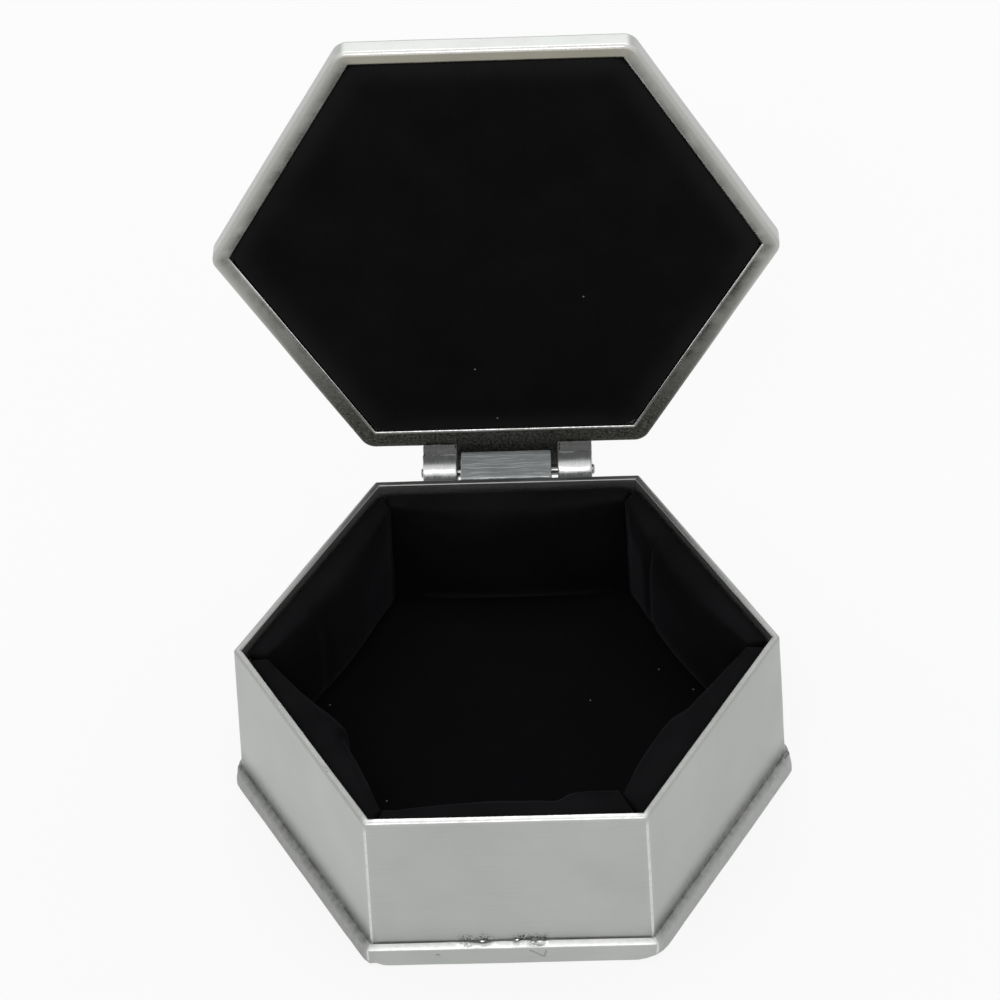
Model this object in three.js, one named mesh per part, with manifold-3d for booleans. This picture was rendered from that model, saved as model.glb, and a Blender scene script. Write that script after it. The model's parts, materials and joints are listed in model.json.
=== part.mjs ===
// A six-sided pewter trinket box with a velvet lining, standing open on its hinge stop.
// Millimetres, +Z up, the front wall towards -Y, the hinge behind the wall at +Y.
// The origin is the centre of the underside.
import * as THREE from "three";
import { mergeVertices } from "three/addons/utils/BufferGeometryUtils.js";
import Module from "manifold-3d";

// Body: a six-sided band, soldered on a base plate
const RIM_CORNER_RADIUS = 38.0; // axis to a corner of the rim
const WALL_HEIGHT = 24.0;
const WALL_THICKNESS = 1.0;
const FOOT_FLARE = 0.7; // how far a wall leans out at its foot
const PLATE_THICKNESS = 3.7;
const PLATE_LEDGE = 1.05; // how far the plate stands out past the wall's foot
const PLATE_EDGE_ROUND = 0.6;
const PLATE_CORNER_ROUND = 1.6;
const SOLDER_FILM = 0.05;

// Lid: a shallow tray with a flat rim
const LID_OVERHANG = 1.95; // past the outside of the body's rim
const LID_RIM_WIDTH = 2.45;
const LID_RECESS_SHIFT = 0.5; // towards the front, so that the rim is wider at the hinge
const LID_SIDE_SHIFT = -0.3; // the lid sits a little off centre on its ears
const LID_TOP_THICKNESS = 1.6;
const LID_EDGE_ROUND = 0.8;
const LID_CORNER_ROUND = 2.2;
const LID_SEAT_GAP = 0.25; // rim to rim when shut
const LID_OPEN_ANGLE = 94.0; // degrees from shut to the open stop

// Hinge: a block on the back wall between two ears on the lid
const KNUCKLE_RADIUS = 2.9;
const KNUCKLE_WALL_GAP = 1.45; // back wall to the knuckles
const BLOCK_WIDTH = 13.0;
const BLOCK_SHIFT = -0.2; // the block sits a little off centre
const EAR_WIDTH = 4.9;
const EAR_SIDE_GAP = 0.8;
const EAR_STRAP_THICKNESS = 1.0;
const EAR_LAP = 0.6; // strap under the lid's rim
const HEEL_STOP_GAP = 0.2; // heel to back wall when open
const TONGUE_THICKNESS = 1.2; // the lid's plate reaches back over the knuckles
const TONGUE_END_ROUND = 0.5;
const TONGUE_SIDE_INSET = 1.0; // from the ears' outer sides
const PIN_RADIUS = 0.75;
const PIN_END_PROUD = 0.4;
const PIN_END_DOME = 0.25;
const PIN_HELD_CLEARANCE = 0.05;
const PIN_RUNNING_CLEARANCE = 0.1;

// Lining: card, wadding and velvet
const CARD_THICKNESS = 0.4;
const VELVET_THICKNESS = 0.5;
const GLUE_GAP = 0.15;
const LINING_BELOW_RIM = 2.2; // bare metal above the wall pads
const WALL_PAD_EDGE_DEPTH = 2.8;
const WALL_PAD_CROWN = 2.7;
const WALL_PAD_DRAW_IN = 0.4; // how far the edges pull in between the corners
const WALL_PAD_CORNER_GAP = 0.25;
const WALL_PAD_SHOULDER = 4; // power of the crown up the wall: higher is squarer
const FLOOR_WADDING_THICKNESS = 1.2;
const FLOOR_CROWN = 0.8;
const LID_WADDING_THICKNESS = 0.35;
const LID_CROWN = 0.5;
const LID_LINING_SETBACK = 0.1; // velvet's edge below the lid's rim face
const LID_CROWN_MARGIN = 1.0; // flat border inside the body's rim

// Smoothness
const PIN_SIDES = 20;
const CURVE_STEPS = 10;
const EDGE_STEPS = 3;
const CROWN_RINGS = 4;
const PAD_COLUMNS = 8;
const PAD_ROWS = 8;
const DOME_RINGS = 3;
const CUT_MARGIN = 2.0; // how far a cutting shape runs past what it cuts
const WELD_DISTANCE = 1e-4;

// Six-sided proportions
const SIDES = 6;
const CORNER_TO_FLAT = Math.cos(Math.PI / SIDES);
const FLAT_TO_HALF_SIDE = Math.tan(Math.PI / SIDES);

// Distances from the axis to the flats, and heights
const rimFlat = RIM_CORNER_RADIUS * CORNER_TO_FLAT;
const footFlat = rimFlat + FOOT_FLARE;
const plateFlat = footFlat + PLATE_LEDGE;
const lidFlat = rimFlat + LID_OVERHANG;
const lidRecessFlat = lidFlat - LID_RIM_WIDTH;
const wallFootHeight = PLATE_THICKNESS + SOLDER_FILM;
const rimHeight = wallFootHeight + WALL_HEIGHT;

// The panel layers, from the seat up: glue, card, glue, wadding, glue, velvet
const layersBelowWadding = 2 * GLUE_GAP + CARD_THICKNESS;
const layersOverWadding = GLUE_GAP + VELVET_THICKNESS;
const floorPanelThickness = layersBelowWadding + FLOOR_WADDING_THICKNESS + layersOverWadding;
const lidPanelThickness = layersBelowWadding + LID_WADDING_THICKNESS + layersOverWadding;
const lidRecessDepth = lidPanelThickness + LID_LINING_SETBACK;
const lidThickness = lidRecessDepth + LID_TOP_THICKNESS;

// The hinge's axis runs along X
const pinY = rimFlat + KNUCKLE_WALL_GAP + KNUCKLE_RADIUS;
const pinZ = rimHeight - KNUCKLE_RADIUS;
const openAngle = THREE.MathUtils.degToRad(LID_OPEN_ANGLE);

const PEWTER = new THREE.MeshStandardMaterial({ color: 0xa9aba7, roughness: 0.42, metalness: 0.9 });
const SOLDERED_PEWTER = new THREE.MeshStandardMaterial({ color: 0x878d8d, roughness: 0.4, metalness: 0.9 });
const PIN_STEEL = new THREE.MeshStandardMaterial({ color: 0xc4c6c6, roughness: 0.25, metalness: 1.0 });
const VELVET = new THREE.MeshStandardMaterial({ color: 0x0b0b10, roughness: 1.0, metalness: 0.0 });
const CARD = new THREE.MeshStandardMaterial({ color: 0xb9ab92, roughness: 0.9, metalness: 0.0 });
const WADDING = new THREE.MeshStandardMaterial({ color: 0xe6e4de, roughness: 1.0, metalness: 0.0 });

const wasm = await Module();
wasm.setup();

// A closed geometry as a solid that can be cut.
function solidOf(geometry) {
  const bare = geometry.clone();
  bare.deleteAttribute("normal");
  bare.deleteAttribute("uv");
  const merged = mergeVertices(bare, WELD_DISTANCE);
  const vertProperties = new Float32Array(merged.getAttribute("position").array);
  const triVerts = new Uint32Array(merged.index.array);
  return new wasm.Manifold(new wasm.Mesh({ numProp: 3, vertProperties, triVerts }));
}

// A cut solid as a geometry again.
function geometryOf(solid) {
  const { vertProperties, triVerts } = solid.getMesh();
  const geometry = new THREE.BufferGeometry();
  geometry.setAttribute("position", new THREE.BufferAttribute(vertProperties, 3));
  geometry.setIndex(new THREE.BufferAttribute(triVerts, 1));
  geometry.computeVertexNormals();
  return geometry;
}

function pieceOf(name, geometry, material) {
  const mesh = new THREE.Mesh(geometry, material);
  mesh.name = name;
  return mesh;
}

// A six-sided turning: each profile point [flat, height] becomes a hexagon with a flat to the front.
function sixSided(profile) {
  const points = profile.map(([flat, height]) => new THREE.Vector2(flat / CORNER_TO_FLAT, height));
  const geometry = new THREE.LatheGeometry(points, SIDES, Math.PI / SIDES);
  return geometry.rotateX(Math.PI / 2);
}

// A hexagon's outline with rounded corners, one corner on +X.
function roundedHexagon(flat, round) {
  const outline = new THREE.Shape();
  const arcDistance = (flat - round) / CORNER_TO_FLAT;
  for (let corner = 0; corner < SIDES; corner += 1) {
    const angle = (corner * 2 * Math.PI) / SIDES;
    const x = arcDistance * Math.cos(angle);
    const y = arcDistance * Math.sin(angle);
    outline.absarc(x, y, round, angle - Math.PI / SIDES, angle + Math.PI / SIDES);
  }
  return outline;
}

// A six-sided plate from z = 0 up, with rounded corners and both edges rounded.
function softPlate(flat, thickness, cornerRound, edgeRound) {
  const geometry = new THREE.ExtrudeGeometry(roundedHexagon(flat, cornerRound), {
    depth: thickness - 2 * edgeRound,
    bevelThickness: edgeRound,
    bevelSize: edgeRound,
    bevelOffset: -edgeRound,
    bevelSegments: EDGE_STEPS,
    curveSegments: EDGE_STEPS,
  });
  return geometry.translate(0, 0, edgeRound);
}

// An outline drawn in (y, z), stretched along X and centred on x = 0.
function stretchedAlongX(outline, width) {
  const geometry = new THREE.ExtrudeGeometry(outline, {
    depth: width,
    bevelEnabled: false,
    curveSegments: CURVE_STEPS,
  });
  const yAxis = new THREE.Vector3(0, 1, 0);
  const zAxis = new THREE.Vector3(0, 0, 1);
  const xAxis = new THREE.Vector3(1, 0, 0);
  geometry.translate(0, 0, -width / 2);
  return geometry.applyMatrix4(new THREE.Matrix4().makeBasis(yAxis, zAxis, xAxis));
}

function pinHole(clearance) {
  return new THREE.Path().absarc(0, 0, PIN_RADIUS + clearance, 0, 2 * Math.PI);
}

// The wall's outer face leans out from the rim to its foot.
function wallOuterFlat(height) {
  return rimFlat + (FOOT_FLARE * (rimHeight - height)) / WALL_HEIGHT;
}

function wallInnerFlat(height) {
  return wallOuterFlat(height) - WALL_THICKNESS;
}

function makeBody() {
  const plate = softPlate(plateFlat, PLATE_THICKNESS, PLATE_CORNER_ROUND, PLATE_EDGE_ROUND);
  const wall = sixSided([
    [footFlat, wallFootHeight],
    [rimFlat, rimHeight],
    [rimFlat - WALL_THICKNESS, rimHeight],
    [footFlat - WALL_THICKNESS, wallFootHeight],
    [footFlat, wallFootHeight],
  ]);
  return [pieceOf("base_plate", plate, PEWTER), pieceOf("body_wall", wall, PEWTER)];
}

// The block reaches from the back wall to the pin, flat on top and round behind.
function makeHingeBlock() {
  const topFront = wallOuterFlat(rimHeight) + SOLDER_FILM - pinY;
  const bottomFront = wallOuterFlat(pinZ - KNUCKLE_RADIUS) + SOLDER_FILM - pinY;
  const outline = new THREE.Shape();
  outline.moveTo(bottomFront, -KNUCKLE_RADIUS);
  outline.absarc(0, 0, KNUCKLE_RADIUS, -Math.PI / 2, Math.PI / 2);
  outline.lineTo(topFront, KNUCKLE_RADIUS);
  outline.holes.push(pinHole(PIN_HELD_CLEARANCE));
  const block = pieceOf("hinge_block", stretchedAlongX(outline, BLOCK_WIDTH), SOLDERED_PEWTER);
  block.position.set(BLOCK_SHIFT, pinY, pinZ);
  return block;
}

function makeHingePin() {
  const halfLength = BLOCK_WIDTH / 2 + EAR_SIDE_GAP + EAR_WIDTH + PIN_END_PROUD;
  const upper = [];
  for (let ring = 0; ring <= DOME_RINGS; ring += 1) {
    const share = 1 - ring / DOME_RINGS;
    upper.push(new THREE.Vector2(PIN_RADIUS * share, halfLength - PIN_END_DOME * share ** 2));
  }
  const lower = upper.map((point) => new THREE.Vector2(point.x, -point.y)).reverse();
  const profile = [...lower, ...upper];
  const geometry = new THREE.LatheGeometry(profile, PIN_SIDES).rotateZ(-Math.PI / 2);
  const pin = pieceOf("hinge_pin", geometry, PIN_STEEL);
  pin.position.set(0, pinY, pinZ);
  return pin;
}

// How far below the pin the heel's corner reaches when shut, so that it meets the wall when open.
function heelDrop() {
  const room = pinY - wallOuterFlat(pinZ - KNUCKLE_RADIUS) - HEEL_STOP_GAP;
  return (room + KNUCKLE_RADIUS * Math.cos(openAngle)) / Math.sin(openAngle);
}

// An ear in the lid's frame, drawn shut round the pin: barrel, heel behind, strap in front.
function makeEar(name, x) {
  const strapEnd = lidFlat - EAR_LAP - pinY;
  const strapUnderside = KNUCKLE_RADIUS - EAR_STRAP_THICKNESS;
  const outline = new THREE.Shape();
  outline.moveTo(strapEnd, KNUCKLE_RADIUS);
  outline.absarc(0, 0, KNUCKLE_RADIUS, Math.PI / 2, 0, true);
  outline.lineTo(KNUCKLE_RADIUS, -heelDrop());
  const strapAngle = Math.PI - Math.asin(strapUnderside / KNUCKLE_RADIUS);
  outline.absarc(0, 0, KNUCKLE_RADIUS, -Math.PI / 2, strapAngle - 2 * Math.PI, true);
  outline.lineTo(strapEnd, strapUnderside);
  outline.holes.push(pinHole(PIN_RUNNING_CLEARANCE));
  const ear = pieceOf(name, stretchedAlongX(outline, EAR_WIDTH), SOLDERED_PEWTER);
  ear.position.x = x;
  return ear;
}

// The tongue at the lid's back edge, which hides the block from behind, flush with it when shut.
function lidTongue() {
  const root = lidFlat - LID_RIM_WIDTH / 2;
  const end = pinY + KNUCKLE_RADIUS;
  const outline = new THREE.Shape();
  outline.moveTo(root, 0);
  outline.lineTo(end, 0);
  const roundZ = TONGUE_THICKNESS - TONGUE_END_ROUND;
  outline.absarc(end - TONGUE_END_ROUND, roundZ, TONGUE_END_ROUND, 0, Math.PI / 2);
  outline.lineTo(root, TONGUE_THICKNESS);
  const width = BLOCK_WIDTH + 2 * (EAR_SIDE_GAP + EAR_WIDTH - TONGUE_SIDE_INSET);
  return stretchedAlongX(outline, width);
}

// The lid's tray in its own frame: rim face at z = 0, the recess above it.
function makeLidShell() {
  const blank = softPlate(lidFlat, lidThickness + LID_EDGE_ROUND, LID_CORNER_ROUND, LID_EDGE_ROUND);
  blank.translate(0, 0, -LID_EDGE_ROUND);
  const belowRim = new THREE.BoxGeometry(4 * lidFlat, 4 * lidFlat, CUT_MARGIN);
  belowRim.translate(0, 0, -CUT_MARGIN / 2);
  const recess = sixSided([
    [0, -CUT_MARGIN],
    [lidRecessFlat, -CUT_MARGIN],
    [lidRecessFlat, lidRecessDepth],
    [0, lidRecessDepth],
  ]);
  recess.translate(0, -LID_RECESS_SHIFT, 0);
  const plate = solidOf(blank).subtract(solidOf(belowRim)).add(solidOf(lidTongue()));
  const tray = plate.subtract(solidOf(recess));
  return pieceOf("lid_shell", geometryOf(tray), PEWTER);
}

// A crowned panel: card and wadding under a velvet cap, from z = 0 up, flat outside crownFlat.
function makePanel(place, flat, crownFlat, waddingThickness, crown) {
  const cardFoot = GLUE_GAP;
  const waddingFoot = layersBelowWadding;
  const waddingTop = waddingFoot + waddingThickness;
  const velvetTop = waddingTop + layersOverWadding;
  const innerFlat = flat - VELVET_THICKNESS - GLUE_GAP;
  const crownedTop = (edgeFlat, height) => {
    const rings = [];
    for (let ring = 0; ring <= CROWN_RINGS; ring += 1) {
      const share = 1 - ring / CROWN_RINGS;
      rings.push([crownFlat * share, height + crown * (1 - share ** 2)]);
    }
    return [[edgeFlat, height], ...rings];
  };
  const card = sixSided([
    [0, cardFoot],
    [innerFlat, cardFoot],
    [innerFlat, cardFoot + CARD_THICKNESS],
    [0, cardFoot + CARD_THICKNESS],
  ]);
  const wadding = sixSided([
    [0, waddingFoot],
    [innerFlat, waddingFoot],
    ...crownedTop(innerFlat, waddingTop),
  ]);
  const lining = crownedTop(flat - VELVET_THICKNESS, velvetTop - VELVET_THICKNESS).reverse();
  const velvet = sixSided([
    ...lining,
    [flat - VELVET_THICKNESS, cardFoot],
    [flat, cardFoot],
    ...crownedTop(flat, velvetTop),
  ]);
  const panel = new THREE.Group();
  panel.add(pieceOf(`${place}_card`, card, CARD));
  panel.add(pieceOf(`${place}_wadding`, wadding, WADDING));
  panel.add(pieceOf(`${place}_velvet`, velvet, VELVET));
  return panel;
}

const floorTop = PLATE_THICKNESS + floorPanelThickness;
const wallPadFoot = floorTop + GLUE_GAP;
const wallPadTop = rimHeight - LINING_BELOW_RIM;

// Depth of a wall pad from the metal: along runs -1 to 1 between corners, rise 0 to 1 up the wall.
function wallPadDepth(along, rise) {
  const acrossHeight = 1 - (2 * rise - 1) ** WALL_PAD_SHOULDER;
  return WALL_PAD_EDGE_DEPTH + WALL_PAD_CROWN * (1 - along ** 2) * acrossHeight;
}

// One layer of the front wall's pad: a gridded block bent to the leaning wall, inset from the
// pad's outline, with its back at a fixed depth and its face at faceDepth(along, rise).
function wallPadLayer(inset, backDepth, faceDepth, columns = PAD_COLUMNS, rows = PAD_ROWS) {
  const block = new THREE.BoxGeometry(2, 1, 1, columns, 1, rows);
  const points = block.getAttribute("position");
  for (let i = 0; i < points.count; i += 1) {
    const along = points.getX(i);
    const isFace = points.getY(i) > 0;
    const rise = (1 - Math.cos(Math.PI * (points.getZ(i) + 0.5))) / 2;
    const foot = wallPadFoot + inset;
    const top = wallPadTop - inset - WALL_PAD_DRAW_IN * (1 - along ** 2);
    const height = foot + rise * (top - foot);
    const depth = isFace ? faceDepth(along, rise) : backDepth;
    const flat = wallInnerFlat(height) - depth;
    const sideInset = WALL_PAD_CORNER_GAP + inset + WALL_PAD_DRAW_IN * (1 - (2 * rise - 1) ** 2);
    points.setXYZ(i, along * (flat * FLAT_TO_HALF_SIDE - sideInset), -flat, height);
  }
  return block;
}

function makeWallPad(place, turn) {
  const innerInset = VELVET_THICKNESS + GLUE_GAP;
  const cardFace = GLUE_GAP + CARD_THICKNESS;
  const card = wallPadLayer(innerInset + WALL_PAD_DRAW_IN, GLUE_GAP, () => cardFace, 1, 1);
  const wadding = wallPadLayer(innerInset, layersBelowWadding, (along, rise) => {
    return wallPadDepth(along, rise) - layersOverWadding;
  });
  const whole = solidOf(wallPadLayer(0, GLUE_GAP, wallPadDepth));
  const hollow = wallPadLayer(VELVET_THICKNESS, -CUT_MARGIN, (along, rise) => {
    return wallPadDepth(along, rise) - VELVET_THICKNESS;
  });
  const pad = new THREE.Group();
  pad.add(pieceOf(`wall_card_${place}`, card, CARD));
  pad.add(pieceOf(`wall_wadding_${place}`, wadding, WADDING));
  pad.add(pieceOf(`wall_velvet_${place}`, geometryOf(whole.subtract(solidOf(hollow))), VELVET));
  pad.rotation.z = turn;
  return pad;
}

const WALLS = ["front", "front_right", "back_right", "back", "back_left", "front_left"];

function makeBox() {
  const box = new THREE.Group();
  box.add(...makeBody(), makeHingeBlock(), makeHingePin());
  const floorFlat = wallInnerFlat(floorTop) - GLUE_GAP;
  const floorCrownFlat = floorFlat - WALL_PAD_EDGE_DEPTH - WALL_PAD_CROWN;
  const floor = makePanel("floor", floorFlat, floorCrownFlat, FLOOR_WADDING_THICKNESS, FLOOR_CROWN);
  floor.position.z = PLATE_THICKNESS;
  box.add(floor);
  WALLS.forEach((place, i) => box.add(makeWallPad(place, (i * 2 * Math.PI) / SIDES)));
  return box;
}

// The lid is drawn shut in the pin's frame, then swung open.
function makeLid() {
  const lid = new THREE.Group();
  const rimFace = KNUCKLE_RADIUS + LID_SEAT_GAP;
  const shell = makeLidShell();
  shell.position.set(LID_SIDE_SHIFT, -pinY, rimFace);
  lid.add(shell);
  const panelFlat = lidRecessFlat - GLUE_GAP;
  const crownFlat = rimFlat - WALL_THICKNESS - LID_CROWN_MARGIN;
  const panel = makePanel("lid", panelFlat, crownFlat, LID_WADDING_THICKNESS, LID_CROWN);
  panel.position.set(LID_SIDE_SHIFT, -pinY - LID_RECESS_SHIFT, rimFace + lidRecessDepth);
  panel.rotation.x = Math.PI;
  lid.add(panel);
  const earX = BLOCK_WIDTH / 2 + EAR_SIDE_GAP + EAR_WIDTH / 2;
  lid.add(makeEar("hinge_ear_left", -earX), makeEar("hinge_ear_right", earX));
  lid.position.set(0, pinY, pinZ);
  lid.rotation.x = -openAngle;
  return lid;
}

const trinketBox = new THREE.Group();
trinketBox.add(makeBox(), makeLid());

export default trinketBox;
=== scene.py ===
"""Looks of a six-sided pewter trinket box with a black velvet lining, standing open.

Each sub-assembly is a class. It models its pieces in millimetres in the part's own frame, with +Z up
and the front wall towards -Y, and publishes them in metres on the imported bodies.
"""

import json
import logging
import math
from dataclasses import astuple, dataclass, field, replace
from enum import Enum
from typing import Callable, Sequence

import bmesh
import bpy
from bmesh.types import BMEdge, BMFace, BMVert
from mathutils import Matrix, Vector, noise


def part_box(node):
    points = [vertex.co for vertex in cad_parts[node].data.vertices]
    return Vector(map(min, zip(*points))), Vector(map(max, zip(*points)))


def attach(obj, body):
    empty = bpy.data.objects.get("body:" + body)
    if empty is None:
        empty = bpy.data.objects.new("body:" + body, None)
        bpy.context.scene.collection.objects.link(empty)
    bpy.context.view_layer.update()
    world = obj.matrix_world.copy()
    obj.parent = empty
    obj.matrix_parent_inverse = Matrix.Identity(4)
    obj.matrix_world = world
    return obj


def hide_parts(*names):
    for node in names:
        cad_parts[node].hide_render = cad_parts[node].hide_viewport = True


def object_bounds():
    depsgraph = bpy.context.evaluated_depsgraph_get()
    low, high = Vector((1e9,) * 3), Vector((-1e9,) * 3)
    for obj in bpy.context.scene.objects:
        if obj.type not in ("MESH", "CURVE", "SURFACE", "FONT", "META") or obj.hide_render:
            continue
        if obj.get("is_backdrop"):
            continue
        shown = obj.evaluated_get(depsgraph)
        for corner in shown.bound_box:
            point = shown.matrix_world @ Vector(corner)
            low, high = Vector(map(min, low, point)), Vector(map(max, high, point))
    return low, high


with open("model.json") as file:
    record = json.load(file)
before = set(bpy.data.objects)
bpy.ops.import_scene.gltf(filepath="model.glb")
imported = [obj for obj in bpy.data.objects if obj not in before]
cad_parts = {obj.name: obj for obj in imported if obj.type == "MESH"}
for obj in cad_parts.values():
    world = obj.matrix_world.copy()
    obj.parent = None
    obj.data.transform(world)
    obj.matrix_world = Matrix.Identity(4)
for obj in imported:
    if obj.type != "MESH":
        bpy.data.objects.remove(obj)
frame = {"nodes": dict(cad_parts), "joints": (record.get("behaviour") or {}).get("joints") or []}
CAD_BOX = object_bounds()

LOG = logging.getLogger("trinket_box")

MM = 0.001
SIDES = 6
CORNER_TO_FLAT = math.cos(math.pi / SIDES)
FLAT_TO_HALF_SIDE = math.tan(math.pi / SIDES)
X_AXIS = Vector((1.0, 0.0, 0.0))
Y_AXIS = Vector((0.0, 1.0, 0.0))
Z_AXIS = Vector((0.0, 0.0, 1.0))
ALONG_X = Matrix.Rotation(math.pi / 2, 4, "Y")
LEVEL_SLACK = 0.01
MERGE_DISTANCE = 1e-4

Colour = tuple[float, float, float]
Socket = bpy.types.NodeSocket


class Body(Enum):
    """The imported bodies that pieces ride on."""

    BOX = "box"
    LID = "lid"


class Slot(Enum):
    """The record's material slots."""

    PEWTER = "pewter"
    HINGE = "hinge_pewter"
    WIRE = "pin_steel"
    VELVET = "velvet"


class Wall(Enum):
    """The six walls, numbered by sixths of a turn from the front wall."""

    FRONT = 0
    FRONT_RIGHT = 1
    BACK_RIGHT = 2
    BACK = 3
    BACK_LEFT = 4
    FRONT_LEFT = 5

    @property
    def label(self) -> str:
        """The wall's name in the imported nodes."""
        return self.name.lower()

    @property
    def turn(self) -> Matrix:
        """Turns the front wall to this wall."""
        return Matrix.Rotation(self.value * math.tau / SIDES, 4, "Z")


class FoldKind(Enum):
    """How the velvet lies at a fold in a wall pad."""

    FLAP = "flap"
    JAG = "jag"
    CREASE = "crease"


class EarSide(Enum):
    """The lid's two knuckles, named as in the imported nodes."""

    LEFT = "left"
    RIGHT = "right"


def smooth_step(value: float) -> float:
    """An S-curve from 0 to 1, flat outside that range."""
    share = min(1.0, max(0.0, value))
    return share * share * (3.0 - 2.0 * share)


def bell(value: float) -> float:
    """A bell curve of height 1 and width about 1."""
    return math.exp(-value * value)


def mix(start: float, end: float, share: float) -> float:
    """A value part of the way from one to another."""
    return start + (end - start) * share


def marks(start: float, pitch: float, count: int) -> list[float]:
    """Evenly spaced places, the first one pitch away from the start."""
    return [start + pitch * step for step in range(1, count + 1)]


def distance_to_line(point: Vector, start: Vector, end: Vector) -> float:
    """How far a point lies from a line between two others.

    Args:
        point: the point.
        start: the line's start.
        end: its end.
    Returns:
        The distance.
    """
    span = end - start
    share = min(1.0, max(0.0, (point - start).dot(span) / span.length_squared))
    return (point - start - span * share).length


FLAT_WAYS = tuple((wall.turn @ Y_AXIS).to_2d() for wall in Wall)


def flat_reach(point: Vector, centre: Vector = Vector((0.0, 0.0))) -> float:
    """How far out a point is from a middle, measured across the flats.

    Args:
        point: the point.
        centre: the middle.
    Returns:
        The distance to the flat on which the point lies.
    """
    away = point.to_2d() - centre
    return max(away.dot(way) for way in FLAT_WAYS)


def node_box(node: str) -> tuple[Vector, Vector]:
    """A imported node's lowest and highest corners in millimetres."""
    low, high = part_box(node)
    return low / MM, high / MM


def top_flat(node: str) -> float:
    """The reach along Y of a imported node's top face.

    Args:
        node: the node's name.
    Returns:
        The reach in millimetres.
    """
    points = [v.co / MM for v in frame["nodes"][node].data.vertices]
    top = max(p.z for p in points)
    return max(p.y for p in points if top - p.z < LEVEL_SLACK)


class NodeSheet:
    """Builds one node material on Object coordinates."""

    def __init__(self, name: str) -> None:
        """Starts a material with a Principled shader.

        Args:
            name: the material's name.
        """
        self.material = bpy.data.materials.new(name)
        self.material.use_nodes = True
        self.tree = self.material.node_tree
        self.tree.nodes.clear()
        self.shader = self.add("ShaderNodeBsdfPrincipled")
        output = self.add("ShaderNodeOutputMaterial")
        self.tree.links.new(self.shader.outputs["BSDF"], output.inputs["Surface"])
        self.coords = self.add("ShaderNodeTexCoord").outputs["Object"]

    def add(self, kind: str, **settings: object) -> bpy.types.Node:
        """Adds a node and sets its properties.

        Args:
            kind: the node's type name.
            settings: properties to set on it.
        Returns:
            The new node.
        """
        node = self.tree.nodes.new(kind)
        for key, value in settings.items():
            setattr(node, key, value)
        return node

    def feed(self, target: Socket, value: object) -> None:
        """Links a socket to a target, or sets the target's own value.

        Args:
            target: the input socket.
            value: an output socket, a number or a colour.
        """
        if isinstance(value, bpy.types.NodeSocket):
            self.tree.links.new(value, target)
        elif isinstance(value, tuple) and target.type == "RGBA":
            target.default_value = (*value, 1.0)
        else:
            target.default_value = value

    def set(self, **values: object) -> None:
        """Sets or links the shader's inputs, named with underscores for spaces.

        Args:
            values: input names and what they get.
        """
        for key, value in values.items():
            self.feed(self.shader.inputs[key.replace("_", " ")], value)

    def noise(self, size: tuple[float, float, float], detail: float = 3.0, rough: float = 0.55) -> Socket:
        """Soft noise from 0 to 1.

        Args:
            size: its grain along X, Y and Z in millimetres.
            detail: octaves of finer grain.
            rough: weight of the finer octaves.
        Returns:
            The noise's value socket.
        """
        stretch = self.add("ShaderNodeVectorMath", operation="MULTIPLY")
        self.feed(stretch.inputs[0], self.coords)
        stretch.inputs[1].default_value = tuple(1.0 / (s * MM) for s in size)
        texture = self.add("ShaderNodeTexNoise")
        self.feed(texture.inputs["Vector"], stretch.outputs[0])
        texture.inputs["Scale"].default_value = 1.0
        texture.inputs["Detail"].default_value = detail
        texture.inputs["Roughness"].default_value = rough
        return texture.outputs["Fac"]

    def painted(self, name: str) -> Socket:
        """The value of an attribute that is painted on the mesh."""
        return self.add("ShaderNodeAttribute", attribute_name=name).outputs["Fac"]

    def remap(
        self, value: Socket, low: float, high: float, to_low: float = 0.0, to_high: float = 1.0
    ) -> Socket:
        """Maps a range of values to another, clamped.

        Args:
            value: the value's socket.
            low: start of its range.
            high: end of its range.
            to_low: what the start becomes.
            to_high: what the end becomes.
        Returns:
            The mapped value's socket.
        """
        node = self.add("ShaderNodeMapRange", clamp=True)
        for socket, number in zip(node.inputs, (value, low, high, to_low, to_high)):
            self.feed(socket, number)
        return node.outputs["Result"]

    def math(self, operation: str, first: object, second: object) -> Socket:
        """One arithmetic step, clamped to 0 and 1.

        Args:
            operation: the Math node's operation.
            first: a socket or number.
            second: a socket or number.
        Returns:
            The result's socket.
        """
        node = self.add("ShaderNodeMath", operation=operation, use_clamp=True)
        self.feed(node.inputs[0], first)
        self.feed(node.inputs[1], second)
        return node.outputs[0]

    def blend(self, share: object, first: object, second: object) -> Socket:
        """Mixes two colours.

        Args:
            share: how much of the second, as a socket or number.
            first: a colour or socket.
            second: a colour or socket.
        Returns:
            The mixed colour's socket.
        """
        node = self.add("ShaderNodeMix", data_type="RGBA")
        for index, value in ((0, share), (6, first), (7, second)):
            self.feed(node.inputs[index], value)
        return node.outputs[2]

    def bump(self, height: Socket, depth: float, strength: float, below: Socket | None = None) -> Socket:
        """Turns a height into a surface normal.

        Args:
            height: the height's socket, from 0 to 1.
            depth: how deep that is in millimetres.
            strength: how much of it shows.
            below: a coarser bump that this one lies on.
        Returns:
            The normal's socket.
        """
        node = self.add("ShaderNodeBump")
        node.inputs["Strength"].default_value = strength
        node.inputs["Distance"].default_value = depth * MM
        self.feed(node.inputs["Height"], height)
        if below is not None:
            self.feed(node.inputs["Normal"], below)
        return node.outputs["Normal"]


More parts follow.
